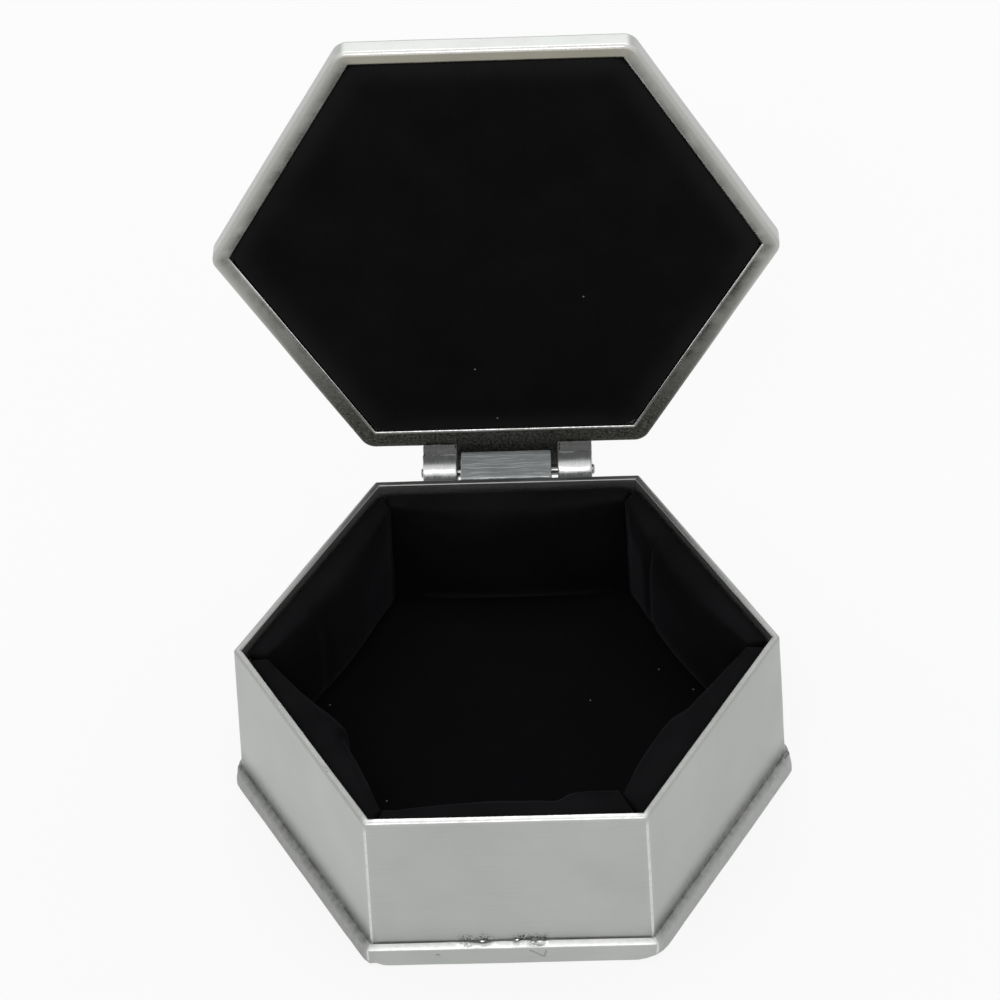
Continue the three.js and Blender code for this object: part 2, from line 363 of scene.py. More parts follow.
@dataclass(frozen=True)
class PewterFinish:
    """Satin pewter: cloudy patina, a brushed grain, burnished edges with painted highlights, and grime with
    painted shade in the creases.
    """

    name: str
    dark: Colour = (0.388, 0.40, 0.387)
    light: Colour = (0.463, 0.475, 0.461)
    tarnished: tuple[Colour, Colour] = ((0.30, 0.288, 0.236), (0.40, 0.385, 0.32))
    burnish_and_highlight: Colour = (0.92, 0.92, 0.91)
    grime_and_shade_tone: Colour = (0.055, 0.055, 0.052)
    metallic: float = 1.0
    roughness: float = 0.36
    roughness_spread: tuple[float, float] = (-0.05, 0.07)
    wear_polish: float = 0.12
    grime_dulling: float = 0.35
    cloud_size: float = 13.0
    cloud_share: float = 0.55
    mottle_size: float = 0.9
    mottle_steepness: float = 0.0125
    pit_size: float = 0.3
    thin_wear_and_highlight: float = 0.55
    thin_grime_and_shade: float = 0.68
    grain: tuple[float, float, float] = (7.0, 7.0, 0.22)
    grain_depth: float = 0.02

    def make(self) -> bpy.types.Material:
        """Builds the material.

        Returns:
            The material.
        """
        sheet = NodeSheet(self.name)
        cloud = sheet.noise((self.cloud_size,) * 3, detail=4.0)
        mottle = sheet.noise((self.mottle_size,) * 3, detail=4.0, rough=0.65)
        brushed = sheet.noise(self.grain, detail=3.0, rough=0.6)
        clouded = sheet.remap(cloud, 0.3, 0.7, 0.0, self.cloud_share)
        lined = sheet.remap(brushed, 0.3, 0.7, 0.0, 1.0 - self.cloud_share)
        tone = sheet.math("ADD", clouded, lined)
        tarnish = sheet.blend(tone, *self.tarnished)
        metal = sheet.blend(sheet.painted("tarnish"), sheet.blend(tone, self.dark, self.light), tarnish)
        patchy_wear_and_highlight = sheet.remap(mottle, 0.3, 0.6, self.thin_wear_and_highlight, 1.0)
        wear_and_highlight = sheet.math("MULTIPLY", sheet.painted("wear_and_highlight"), patchy_wear_and_highlight)
        # Burnished edges and painted highlights lighten the metal where they are painted.
        worn = sheet.blend(wear_and_highlight, metal, self.burnish_and_highlight)
        patchy = sheet.remap(mottle, 0.35, 0.65, self.thin_grime_and_shade, 1.0)
        grime_and_shade = sheet.math("MULTIPLY", sheet.painted("grime_and_shade"), patchy)
        pits = sheet.math("MULTIPLY", sheet.painted("pits"), sheet.remap(self.pit_noise(sheet), 0.5, 0.56))
        # Grime and painted shade darken the metal where they are painted, except under burnish and painted
        # highlights.
        dirt_and_shade = sheet.math("MULTIPLY", sheet.math("MAXIMUM", grime_and_shade, pits), sheet.math("SUBTRACT", 1.0, wear_and_highlight))
        sheet.set(Base_Color=sheet.blend(dirt_and_shade, worn, self.grime_and_shade_tone), Metallic=self.metallic)
        satin = sheet.remap(brushed, 0.3, 0.7, *(self.roughness + step for step in self.roughness_spread))
        polished = sheet.math("SUBTRACT", satin, sheet.math("MULTIPLY", wear_and_highlight, self.wear_polish))
        dulled = sheet.math("MULTIPLY", dirt_and_shade, self.grime_dulling)
        sheet.set(Roughness=sheet.math("ADD", polished, dulled))
        mottled = sheet.bump(mottle, self.mottle_steepness * self.mottle_size, 0.25)
        sheet.set(Normal=sheet.bump(brushed, self.grain_depth, 0.2, mottled))
        return sheet.material

    def pit_noise(self, sheet: NodeSheet) -> Socket:
        """Grain that breaks into pits."""
        return sheet.noise((self.pit_size,) * 3, detail=2.0, rough=0.7)


@dataclass(frozen=True)
class FiledFinish:
    """Dull grey metal with the long curved scratches of a file."""

    name: str
    colour: Colour = (0.37, 0.40, 0.41)
    scratched: Colour = (0.95, 0.97, 0.97)
    scratch_width: float = 0.2
    scratch_length: float = 7.0
    scratch_bend: float = 2.2
    bend_size: float = 8.0
    scratch_depth: float = 0.05
    cloud_size: float = 2.5
    metallic: float = 0.35
    roughness: tuple[float, float] = (0.62, 0.42)

    def make(self) -> bpy.types.Material:
        """Builds the material.

        Returns:
            The material.
        """
        sheet = NodeSheet(self.name)
        bend = sheet.add("ShaderNodeVectorMath", operation="MULTIPLY_ADD")
        sheet.feed(bend.inputs[0], sheet.noise((self.bend_size,) * 3, detail=1.0))
        bend.inputs[1].default_value = (0.0, self.scratch_bend * MM, 0.0)
        sheet.feed(bend.inputs[2], sheet.coords)
        sheet.coords = bend.outputs[0]
        scratches = sheet.noise((self.scratch_length, self.scratch_width, 1.0), detail=3.0, rough=0.7)
        cloud = sheet.noise((self.cloud_size,) * 3, detail=3.0)
        base = sheet.blend(sheet.remap(cloud, 0.3, 0.7, 0.0, 0.2), self.colour, self.scratched)
        line = sheet.remap(scratches, 0.52, 0.62, 0.0, 0.9)
        # Scratches, burnish and a painted highlight on the block's edges lighten the grey.
        worn = sheet.blend(sheet.math("MAXIMUM", line, sheet.painted("wear_and_highlight")), base, self.scratched)
        sheet.set(Base_Color=worn, Metallic=self.metallic)
        sheet.set(Roughness=sheet.remap(scratches, 0.3, 0.7, *self.roughness))
        sheet.set(Normal=sheet.bump(scratches, self.scratch_depth, 0.5))
        return sheet.material


@dataclass(frozen=True)
class WireFinish:
    """Bright drawn wire."""

    name: str
    colour: Colour = (0.46, 0.46, 0.46)
    smudged: Colour = (0.13, 0.13, 0.125)
    grain: tuple[float, float, float] = (4.0, 0.2, 0.2)
    grain_depth: float = 0.01
    roughness: tuple[float, float] = (0.18, 0.34)

    def make(self) -> bpy.types.Material:
        """Builds the material.

        Returns:
            The material.
        """
        sheet = NodeSheet(self.name)
        drawn = sheet.noise(self.grain, detail=2.0)
        tone = sheet.blend(sheet.remap(drawn, 0.4, 0.7), self.colour, self.smudged)
        sheet.set(Base_Color=tone, Metallic=1.0)
        sheet.set(Roughness=sheet.remap(drawn, 0.3, 0.7, *self.roughness))
        sheet.set(Normal=sheet.bump(drawn, self.grain_depth, 0.2))
        return sheet.material


@dataclass(frozen=True)
class VelvetFinish:
    """Black velvet: a deep pile with a faint nap, a painted sheen of lighter pile on its edges and a few
    specks of lint.
    """

    name: str
    pile: Colour = (0.005, 0.0049, 0.0056)
    brushed_pile: Colour = (0.0072, 0.0071, 0.0081)
    # The lighter pile of the painted sheen on edges.
    sheen_pile: Colour = (0.016, 0.0158, 0.0172)
    lint: Colour = (0.24, 0.24, 0.24)
    sheen: Colour = (0.16, 0.155, 0.18)
    sheen_weight: float = 0.22
    sheen_roughness: float = 0.32
    gloss: float = 0.02
    nap_size: float = 9.0
    nap_depth: float = 0.5
    fibre_size: float = 0.16
    fibre_depth: float = 0.12
    lint_axes: tuple[str, str] = ("X", "Y")
    lint_spacing: float = 13.0
    lint_radius: float = 0.009
    lint_share: float = 0.6

    def make(self) -> bpy.types.Material:
        """Builds the material.

        Returns:
            The material.
        """
        sheet = NodeSheet(self.name)
        nap = sheet.noise((self.nap_size,) * 3, detail=3.0)
        fibre = sheet.noise((self.fibre_size,) * 3, detail=2.0, rough=0.7)
        flat_pile = sheet.blend(sheet.remap(nap, 0.35, 0.75), self.pile, self.brushed_pile)
        # Painted sheen: the pile is lighter where the mesh is painted, standing in for sheen on rolled edges.
        painted_sheen = sheet.math("MULTIPLY", sheet.painted("painted_sheen"), sheet.remap(nap, 0.3, 0.6, 0.5, 1.0))
        cloth = sheet.blend(painted_sheen, flat_pile, self.sheen_pile)
        sheet.set(Base_Color=sheet.blend(self.specks(sheet), cloth, self.lint), Roughness=1.0)
        sheet.set(Specular_IOR_Level=self.gloss, Sheen_Tint=self.sheen)
        sheet.set(Sheen_Weight=self.sheen_weight, Sheen_Roughness=self.sheen_roughness)
        soft = sheet.bump(nap, self.nap_depth, 0.3)
        sheet.set(Normal=sheet.bump(fibre, self.fibre_depth, 0.5, soft))
        return sheet.material

    def specks(self, sheet: NodeSheet) -> Socket:
        """Small dots in a few cells of a cell pattern that lies in one plane.

        Args:
            sheet: the material in the making.
        Returns:
            A socket that is 1 on a speck and 0 elsewhere.
        """
        axes = sheet.add("ShaderNodeSeparateXYZ")
        sheet.feed(axes.inputs[0], sheet.coords)
        flat = sheet.add("ShaderNodeCombineXYZ")
        for target, axis in zip(flat.inputs, self.lint_axes):
            sheet.feed(target, axes.outputs[axis])
        cells = sheet.add("ShaderNodeTexVoronoi", voronoi_dimensions="2D")
        sheet.feed(cells.inputs["Vector"], flat.outputs[0])
        cells.inputs["Scale"].default_value = 1.0 / (self.lint_spacing * MM)
        dot = sheet.math("LESS_THAN", cells.outputs["Distance"], self.lint_radius)
        split = sheet.add("ShaderNodeSeparateColor")
        sheet.feed(split.inputs[0], cells.outputs["Color"])
        chosen = sheet.math("GREATER_THAN", split.outputs[0], self.lint_share)
        return sheet.math("MULTIPLY", dot, chosen)


@dataclass(frozen=True)
class CardFinish:
    """Grey-brown backing card with flecks."""

    name: str
    colour: Colour = (0.43, 0.36, 0.27)
    fleck: Colour = (0.27, 0.22, 0.16)

    def make(self) -> bpy.types.Material:
        """Builds the material.

        Returns:
            The material.
        """
        sheet = NodeSheet(self.name)
        pulp = sheet.noise((2.5, 2.5, 2.5), detail=4.0)
        fibre = sheet.noise((0.6, 0.2, 0.2), detail=3.0, rough=0.7)
        shade = sheet.blend(sheet.remap(fibre, 0.55, 0.75), self.colour, self.fleck)
        sheet.set(Base_Color=sheet.blend(sheet.remap(pulp, 0.3, 0.8, 0.0, 0.4), shade, self.fleck))
        sheet.set(Roughness=0.9, Normal=sheet.bump(fibre, 0.05, 0.4))
        return sheet.material


@dataclass(frozen=True)
class Finishes:
    """Every material on the object."""

    body: bpy.types.Material
    lid: bpy.types.Material
    hinge: bpy.types.Material
    filed: bpy.types.Material
    wire: bpy.types.Material
    wall_velvet: bpy.types.Material
    floor_velvet: bpy.types.Material
    lid_velvet: bpy.types.Material
    card: bpy.types.Material

    @classmethod
    def make(cls) -> "Finishes":
        """Builds all the materials.

        Returns:
            The set of them.
        """
        knuckle = {"dark": (0.36, 0.375, 0.372), "light": (0.60, 0.61, 0.605), "grain": (0.3, 3.0, 3.0)}
        speckled = {"mottle_size": 0.32, "thin_grime_and_shade": 0.7}
        grey = {
            "pile": (0.005,) * 3,
            "brushed_pile": (0.0066,) * 3,
            "sheen_pile": (0.0125,) * 3,
            "sheen": (0.17,) * 3,
        }
        return cls(
            body=PewterFinish("brushed_pewter").make(),
            lid=PewterFinish("lid_pewter", roughness=0.29, grime_and_shade_tone=(0.03, 0.029, 0.024), **speckled).make(),
            hinge=PewterFinish("knuckle_pewter", metallic=0.6, roughness=0.25, **speckled, **knuckle).make(),
            filed=FiledFinish("filed_pewter").make(),
            wire=WireFinish("drawn_wire").make(),
            wall_velvet=VelvetFinish("wall_velvet", lint_share=1.0).make(),
            floor_velvet=VelvetFinish("floor_velvet", pile=(0.0064, 0.0063, 0.0072)).make(),
            lid_velvet=VelvetFinish("lid_velvet", lint_axes=("X", "Z"), **grey).make(),
            card=CardFinish("backing_card").make(),
        )


@dataclass(frozen=True)
class Ring:
    """A six-sided outline at one height, with a flat to the front and rounded corners."""

    flat: float
    height: float
    corner_round: float = 0.15
    shift_x: float = 0.0
    shift_y: float = 0.0


@dataclass(frozen=True)
class Wave:
    """Smooth noise that moves a surface in and out, in millimetres."""

    height: float
    size: float
    seed: float


class Workpiece:
    """A mesh in the making, in millimetres."""

    CORNER_STEPS = 5

    def __init__(self, side_cuts: int = 0) -> None:
        """Starts an empty mesh.

        Args:
            side_cuts: how many points divide each side of an outline.
        """
        self.bm = bmesh.new()
        self.side_cuts = side_cuts

    def ring(self, ring: Ring) -> list[BMEdge]:
        """Draws an outline.

        Args:
            ring: its size and place.
        Returns:
            Its edges in order.
        """
        outline = bmesh.new()
        lift = Matrix.Translation((ring.shift_x, ring.shift_y, ring.height))
        turn = Matrix.Rotation(math.pi / SIDES, 4, "Z")
        corners = bmesh.ops.create_circle(
            outline, cap_ends=True, segments=SIDES, radius=ring.flat / CORNER_TO_FLAT, matrix=lift @ turn
        )["verts"]
        bmesh.ops.bevel(
            outline,
            geom=corners,
            offset=ring.corner_round * FLAT_TO_HALF_SIDE,
            segments=self.CORNER_STEPS,
            profile=0.5,
            affect="VERTICES",
            material=-1,
        )
        sides = [e for e in outline.edges if e.calc_length() > 0.5 * ring.flat]
        if self.side_cuts:
            bmesh.ops.subdivide_edges(outline, edges=sides, cuts=self.side_cuts)
        outline.faces.ensure_lookup_table()
        verts = [self.bm.verts.new(v.co) for v in outline.faces[0].verts]
        outline.free()
        return [self.bm.edges.new(pair) for pair in zip(verts, verts[1:] + verts[:1])]

    def loft(self, rings: Sequence[Ring], closed: bool = False) -> list[list[BMEdge]]:
        """Bridges outlines in order, and caps the ends unless the last one meets the first.

        Args:
            rings: the outlines.
            closed: whether the last one meets the first.
        Returns:
            Each outline's edges.
        """
        loops = [self.ring(ring) for ring in rings]
        following = loops[1:] + (loops[:1] if closed else [])
        for lower, upper in zip(loops, following):
            bmesh.ops.bridge_loops(self.bm, edges=lower + upper)
        if not closed:
            self.cap(loops[0])
            self.cap(loops[-1])
        self.face_outwards()
        return loops

    def sheet(self, reaches: Sequence[float], height: float, centre: Vector) -> list[BMEdge]:
        """Draws a six-sided sheet of quads in rings.

        Args:
            reaches: each ring's distance from the middle to a flat, from the inside out.
            height: the sheet's height.
            centre: its middle.
        Returns:
            The edges of its border.
        """
        steps = len(reaches)
        verts: list[BMVert] = []
        for turn in range(3):
            corners = [Wall(2 * (turn + step) % SIDES) for step in (0, 1)]
            first, second = (corner.turn @ X_AXIS / CORNER_TO_FLAT for corner in corners)
            shear = Matrix((first, second, Z_AXIS)).transposed().to_4x4()
            place = shear @ Matrix.Translation((0.5, 0.5, 0.0))
            grid = bmesh.ops.create_grid(self.bm, x_segments=steps, y_segments=steps, size=0.5, matrix=place)
            verts += grid["verts"]
        bmesh.ops.remove_doubles(self.bm, verts=verts, dist=MERGE_DISTANCE)
        verts = [vert for vert in verts if vert.is_valid]
        for vert in verts:
            share = flat_reach(vert.co)
            ring = round(share * steps)
            scale = reaches[ring - 1] / share if ring else 0.0
            vert.co = vert.co * scale + Vector((centre.x, centre.y, height))
        return list({edge for vert in verts for edge in vert.link_edges if edge.is_boundary})

    def cap(self, border: Sequence[BMEdge], steps: int = 4) -> None:
        """Closes an outline with smaller and smaller rings of quads.

        Args:
            border: the outline's edges.
            steps: rings before the last fan.
        """
        rim = {v for e in border for v in e.verts}
        centre = sum((v.co for v in rim), Vector()) / len(rim)
        edges = list(border)
        for step in range(steps, 0, -1):
            made = bmesh.ops.extrude_edge_only(self.bm, edges=edges)["geom"]
            edges = [g for g in made if isinstance(g, BMEdge)]
            verts = [g for g in made if isinstance(g, BMVert)]
            scale = step / (step + 1.0)
            bmesh.ops.scale(self.bm, vec=(scale, scale, 1.0), space=Matrix.Translation(-centre), verts=verts)
        fan = bmesh.ops.edgeloop_fill(self.bm, edges=edges)["faces"]
        bmesh.ops.poke(self.bm, faces=fan)

    def face_outwards(self) -> None:
        """Turns every face outwards."""
        bmesh.ops.recalc_face_normals(self.bm, faces=self.bm.faces[:])

    def round_edges(self, edges: Sequence[BMEdge], radius: float, steps: int) -> None:
        """Rounds edges.

        Args:
            edges: the edges.
            radius: how far the rounding reaches on each side.
            steps: faces across the rounding.
        """
        bmesh.ops.bevel(
            self.bm,
            geom=list(edges),
            offset=radius,
            offset_type="OFFSET",
            segments=steps,
            profile=0.5,
            affect="EDGES",
            material=-1,
        )

    def sharp_edges(self, least: float) -> list[BMEdge]:
        """The edges whose faces turn by more than an angle in degrees."""
        limit = math.radians(least)
        return [e for e in self.bm.edges if e.is_manifold and e.calc_face_angle(0.0) > limit]

    def slice(self, normal: Vector, places: Sequence[float]) -> None:
        """Cuts new edge lines across the whole mesh.

        Args:
            normal: the cutting planes' direction.
            places: their distances from the origin.
        """
        for place in places:
            geom = self.bm.verts[:] + self.bm.edges[:] + self.bm.faces[:]
            bmesh.ops.bisect_plane(
                self.bm, geom=geom, dist=MERGE_DISTANCE, plane_co=normal * place, plane_no=normal
            )

    def refine(self, centre: Vector, reach: float, cuts: int) -> None:
        """Divides the edges round a point.

        Args:
            centre: the point.
            reach: how far round it.
            cuts: cuts in each edge.
        """
        near = [e for e in self.bm.edges if (0.5 * (e.verts[0].co + e.verts[1].co) - centre).length < reach]
        bmesh.ops.subdivide_edges(self.bm, edges=near, cuts=cuts, use_grid_fill=True)

    def wobble(self, wave: Wave, mask: Callable[[Vector], float] = lambda point: 1.0) -> None:
        """Moves the surface in and out by smooth noise.

        Args:
            wave: the most that a point moves, the width of the waves and where in the noise they start.
            mask: share of the height at a point.
        """
        self.bm.normal_update()
        start = Vector((wave.seed, 2.0 * wave.seed, 3.0 * wave.seed))
        for vert in self.bm.verts:
            level = noise.noise(vert.co / wave.size + start)
            vert.co += vert.normal * (wave.height * mask(vert.co) * level)

    def dent(self, centre: Vector, reach: float, push: Vector) -> None:
        """Pushes a small dent.

        Args:
            centre: its middle.
            reach: its radius.
            push: how far and which way its middle goes.
        """
        self.refine(centre, 2.0 * reach, 3)
        for vert in self.bm.verts:
            vert.co += push * bell((vert.co - centre).length / reach)

    def paint(self, name: str, rule: Callable[[BMVert], float]) -> None:
        """Paints a value on each vertex.

        Args:
            name: the attribute's name.
            rule: the value of a vertex.
        """
        layer = self.bm.verts.layers.float.get(name) or self.bm.verts.layers.float.new(name)
        for vert in self.bm.verts:
            vert[layer] = rule(vert)

    def paint_wear_and_highlight(
        self,
        low: float = 6.0,
        high: float = 16.0,
        mask: Callable[[Vector], float] = lambda point: 1.0,
        least: Callable[[Vector], float] = lambda point: 0.0,
    ) -> None:
        """Paints the edges that hands and cloths burnish, and painted highlights where a mask adds them.

        Args:
            low: angle between faces, in degrees, where wear begins.
            high: angle where it is full.
            mask: share of the wear and painted highlight at a point.
            least: the least wear and painted highlight at a point.
        """

        def rule(vert: BMVert) -> float:
            """Wear and painted highlight by the sharpest outward edge at a vertex.

            Args:
                vert: the vertex.
            Returns:
                A share from 0 to 1.
            """
            angles = [e.calc_face_angle_signed(0.0) for e in vert.link_edges if e.is_manifold]
            share = smooth_step((math.degrees(max(angles, default=0.0)) - low) / (high - low))
            return max(share * mask(vert.co), least(vert.co))

        self.paint("wear_and_highlight", rule)

    def transform(self, matrix: Matrix) -> None:
        """Moves the whole mesh by a matrix."""
        bmesh.ops.transform(self.bm, matrix=matrix, verts=self.bm.verts[:])

    def publish(
        self, name: str, material: bpy.types.Material, body: Body, slot: Slot, nodes: Sequence[str]
    ) -> bpy.types.Object:
        """Makes the finished object, in metres, riding on its body.

        Args:
            name: the piece's name.
            material: its finish.
            body: the body that it rides on.
            slot: the record's material slot.
            nodes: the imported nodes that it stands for.
        Returns:
            The object.
        """
        self.transform(Matrix.Scale(MM, 4))
        for face in self.bm.faces:
            face.smooth = True
        mesh = bpy.data.meshes.new(name)
        self.bm.to_mesh(mesh)
        self.bm.free()
        return settle(bpy.data.objects.new(name, mesh), material, body, slot, nodes)


def settle(
    piece: bpy.types.Object, material: bpy.types.Material, body: Body, slot: Slot, nodes: Sequence[str]
) -> bpy.types.Object:
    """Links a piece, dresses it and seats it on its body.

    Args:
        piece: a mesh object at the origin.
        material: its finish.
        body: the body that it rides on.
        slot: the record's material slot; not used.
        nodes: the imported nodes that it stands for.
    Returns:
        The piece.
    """
    bpy.context.scene.collection.objects.link(piece)
    piece.data.materials.clear()
    piece.data.materials.append(material)
    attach(piece, body.value)
    if nodes:
        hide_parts(*nodes)
    LOG.info("%s: %d faces, rides on %s", piece.name, len(piece.data.polygons), body.value)
    return piece


def even_normals(piece: bpy.types.Object, weight: int = 80) -> None:
    """Keeps flat faces flat beside rounded edges.

    Args:
        piece: the finished piece.
        weight: how much more the larger faces count, 50 for not at all.
    """
    modifier = piece.modifiers.new("even_normals", "WEIGHTED_NORMAL")
    modifier.keep_sharp = True
    modifier.weight = weight


@dataclass
class BoxBody:
    """The six-sided band, the plinth under it and the solder between them."""

    finishes: Finishes
    side_cuts: int = 31
    wall_thickness: float = 1.0
    corner_round: float = 0.45
    corner_cut: float = 0.75
    rim_outer_round: float = 0.34
    rim_inner_round: float = 0.16
    rim_fall: float = 0.04
    crease_cut: float = 0.3
    first_cut: float = 0.6
    cut_pitch: float = 1.2
    cut_count: int = 20
    rim_cuts: tuple[float, float] = (1.5, 0.7)
    band_waves: tuple[Wave, ...] = (Wave(0.05, 11.0, 3.0), Wave(0.014, 2.6, 5.0))
    band_corrosion: Wave = Wave(0.16, 0.55, 9.0)
    nick_shares: tuple[float, ...] = (0.31, 0.70)
    nick_inset: Vector = field(default_factory=lambda: Vector((0.45, 0.26, 0.0)))
    nick_reach: float = 0.38
    nick_push: Vector = field(default_factory=lambda: Vector((0.0, 0.0, -0.22)))
    plinth_corner_round: float = 0.5
    plinth_corner_cut: float = 0.5
    plinth_edge_round: float = 0.14
    plinth_foot_round: float = 0.5
    plinth_cuts: tuple[float, ...] = (0.9, 1.6, 2.3)
    plinth_waves: tuple[Wave, ...] = (Wave(0.05, 6.0, 21.0), Wave(0.02, 1.3, 23.0))
    plinth_corrosion: Wave = Wave(0.2, 0.7, 29.0)
    side_corner_round: float = 2.0
    side_tip_reach: float = 1.3
    side_tip_push: float = 0.3
    chip_reach: float = 1.1
    chip_push: Vector = field(default_factory=lambda: Vector((0.25, 0.3, 0.35)))
    worn_reach: float = 3.4
    worn_shift: Vector = field(default_factory=lambda: Vector((-0.3, 0.35, 0.7)))
    scratch_depth: float = 0.07
    scratch_width: float = 0.12
    scratch_dirt: float = 0.6
    pit_reach: float = 0.22
    pit_depth: float = 0.25
    pit_dirt: float = 0.9
    pit_dirt_reach: float = 0.2
    ledge_rise: float = 0.25
    ledge_fall: float = 0.3
    front_ledge_highlight: float = 0.36
    ledge_side_polish: float = 0.08
    seam_width: float = 0.25
    solder_cuts: int = 63
    solder_rise: float = 0.75
    solder_reach: float = 0.5
    solder_front_share: float = 0.15
    solder_waves: tuple[Wave, ...] = (Wave(0.07, 2.6, 31.0), Wave(0.025, 0.7, 37.0))
    solder_corrosion: Wave = Wave(0.5, 1.2, 41.0)
    solder_front_highlight: float = 0.8
    under_wall: float = 0.3
    darkening_rise: float = 5.6
    front_spared: float = 0.88
    front_turn: float = 28.5
    front_blend: float = 3.0
    side_rim_shade: float = 0.3
    right_shade: float = 0.06
    seam_soil: float = 0.7
    solder_grime_and_shade: float = 0.95
    foot_grime_and_shade: float = 0.6
    side_wear: float = 0.1
    inner_shade: float = 0.55
    plate_grime_and_shade: float = 0.27
    plate_left_grime_and_shade: float = 0.15
    ledge_grime_and_shade: float = 0.28
    ledge_inner_grime_and_shade: float = 0.24
    soil_span: float = 20.0
    flaws: tuple[tuple[float, float], ...] = ((-5.0, 2.4), (2.4, 2.5))
    flaw_margins: tuple[float, ...] = (1.2, 0.6)
    flaw_rise: float = 1.5
    rim_flat: float = field(init=False)
    foot_flat: float = field(init=False)
    foot: float = field(init=False)
    rim: float = field(init=False)
    plinth_flat: float = field(init=False)
    plinth_top: float = field(init=False)

    def __post_init__(self) -> None:
        """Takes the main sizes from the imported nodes."""
        low, high = node_box("body_wall")
        self.foot, self.rim, self.foot_flat = low.z, high.z, high.y
        self.rim_flat = top_flat("body_wall")
        plinth_high = node_box("base_plate")[1]
        self.plinth_flat, self.plinth_top = plinth_high.y, plinth_high.z

    def flaw(self, point: Vector) -> float:
        """Share of corrosion at a point near the front seam.

        Args:
            point: a point in millimetres.
        Returns:
            A share from 0 to 1.
        """
        if point.y > 0.0:
            return 0.0
        ragged = 1.3 + 0.9 * noise.noise(Vector((point.x * 0.9, 7.0, 0.0)))
        rise = smooth_step(1.0 - (point.z - self.plinth_top) / (self.flaw_rise * ragged))
        return rise * max(smooth_step(2.0 - 1.6 * abs(point.x - at) / half) for at, half in self.flaws)

    def side_grime_and_shade(self, point: Vector) -> float:
        """How much grime and painted shade a wall's foot gets: the front gets the least."""
        return 1.0 - self.front_spared * self.front_share(point)

    @staticmethod
    def front_angle(point: Vector) -> float:
        """How far a point is turned from the middle of the front, in degrees."""
        return math.degrees(math.atan2(abs(point.x), -point.y))

    def front_share(self, point: Vector) -> float:
        """Whether a point is on the front side, blended over the front corners."""
        return 1.0 - smooth_step((self.front_angle(point) - self.front_turn) / self.front_blend)

    def rim_wear_and_highlight(self, point: Vector) -> float:
        """Share of wear and painted highlight: burnish on the upright corners, and a painted highlight on the
        front rim's crown.

        Args:
            point: a point in millimetres.
        Returns:
            A share from 0 to 1.
        """
        upright = smooth_step((self.rim - 0.6 - point.z) / 0.4)
        crown = smooth_step((point.z - self.rim + 0.22) / 0.18) * self.front_share(point)
        return mix(self.side_wear, 1.0, max(upright, crown))

    def build_band(self) -> None:
        """Models the wall."""
        inner_foot = self.foot_flat - self.wall_thickness
        inner_rim = self.rim_flat - self.wall_thickness
        work = Workpiece(self.side_cuts)
        loops = work.loft(
            [
                Ring(self.foot_flat, self.foot, self.corner_round),
                Ring(self.rim_flat, self.rim - self.rim_fall, self.corner_round),
                Ring(inner_rim, self.rim),
                Ring(inner_foot, self.foot),
            ],
            closed=True,
        )
        work.round_edges(loops[1], self.rim_outer_round, 4)
        work.round_edges(loops[2], self.rim_inner_round, 2)
        last, near_rim = (self.rim - cut for cut in self.rim_cuts)
        heights = [self.foot + self.first_cut + self.cut_pitch * step for step in range(self.cut_count)]
        work.slice(Z_AXIS, [self.foot + self.crease_cut, *(h for h in heights if h < last), near_rim])
        corner = self.rim_flat * FLAT_TO_HALF_SIDE
        for wall in Wall:
            work.slice(wall.turn @ X_AXIS, [corner - self.corner_cut])
        # Paints burnish, with a painted highlight on the front rim's crown.
        work.paint_wear_and_highlight(mask=self.rim_wear_and_highlight)
        for at, half in self.flaws:
            for margin in self.flaw_margins:
                work.refine(Vector((at, -self.foot_flat, self.foot + 0.4)), half + margin, 1)
        work.paint("grime_and_shade", self.band_grime_and_shade)
        work.paint("pits", lambda vert: min(1.0, 1.6 * self.flaw(vert.co)))
        for wave in self.band_waves:
            work.wobble(wave)
        work.wobble(self.band_corrosion, self.flaw)
        start = Vector((-self.rim_flat / CORNER_TO_FLAT, 0.0, self.rim))
        end = Vector((-corner, -self.rim_flat, self.rim))
        for share in self.nick_shares:
            work.dent(start.lerp(end, share) + self.nick_inset, self.nick_reach, self.nick_push)
        even_normals(work.publish("body_band", self.finishes.body, Body.BOX, Slot.PEWTER, ["body_wall"]))

    def band_grime_and_shade(self, vert: BMVert) -> float:
        """Grime and painted shade on the wall: patina in the crease at its foot with painted shade on the
        side walls' feet, and painted shade on the side rims, the right side and the inner face.

        Args:
            vert: a vertex of the wall.
        Returns:
            A share from 0 to 1.
        """
        reach = flat_reach(vert.co) - self.rim_flat + self.wall_thickness
        outside = reach > 0.5 * self.wall_thickness or vert.co.z > self.rim - self.rim_inner_round
        # The inner face gets painted shade.
        if not outside:
            return self.inner_shade
        height = vert.co.z - self.foot
        low = smooth_step(1.0 - height / self.darkening_rise) ** 1.6
        front = self.front_share(vert.co)
        side = 1.0 - front
        # Painted shade on the side rims and the right side; at the foot, crease patina with painted shade,
        # least at the front.
        rim = self.side_rim_shade * smooth_step((vert.co.z - self.rim + 0.5) / 0.3) * side
        right = self.right_shade * smooth_step(vert.co.x / self.soil_span) * side
        seam = self.seam_soil * smooth_step(2.0 - height / self.crease_cut) * front
        return max(rim, right, seam, self.foot_grime_and_shade * low * self.side_grime_and_shade(vert.co))

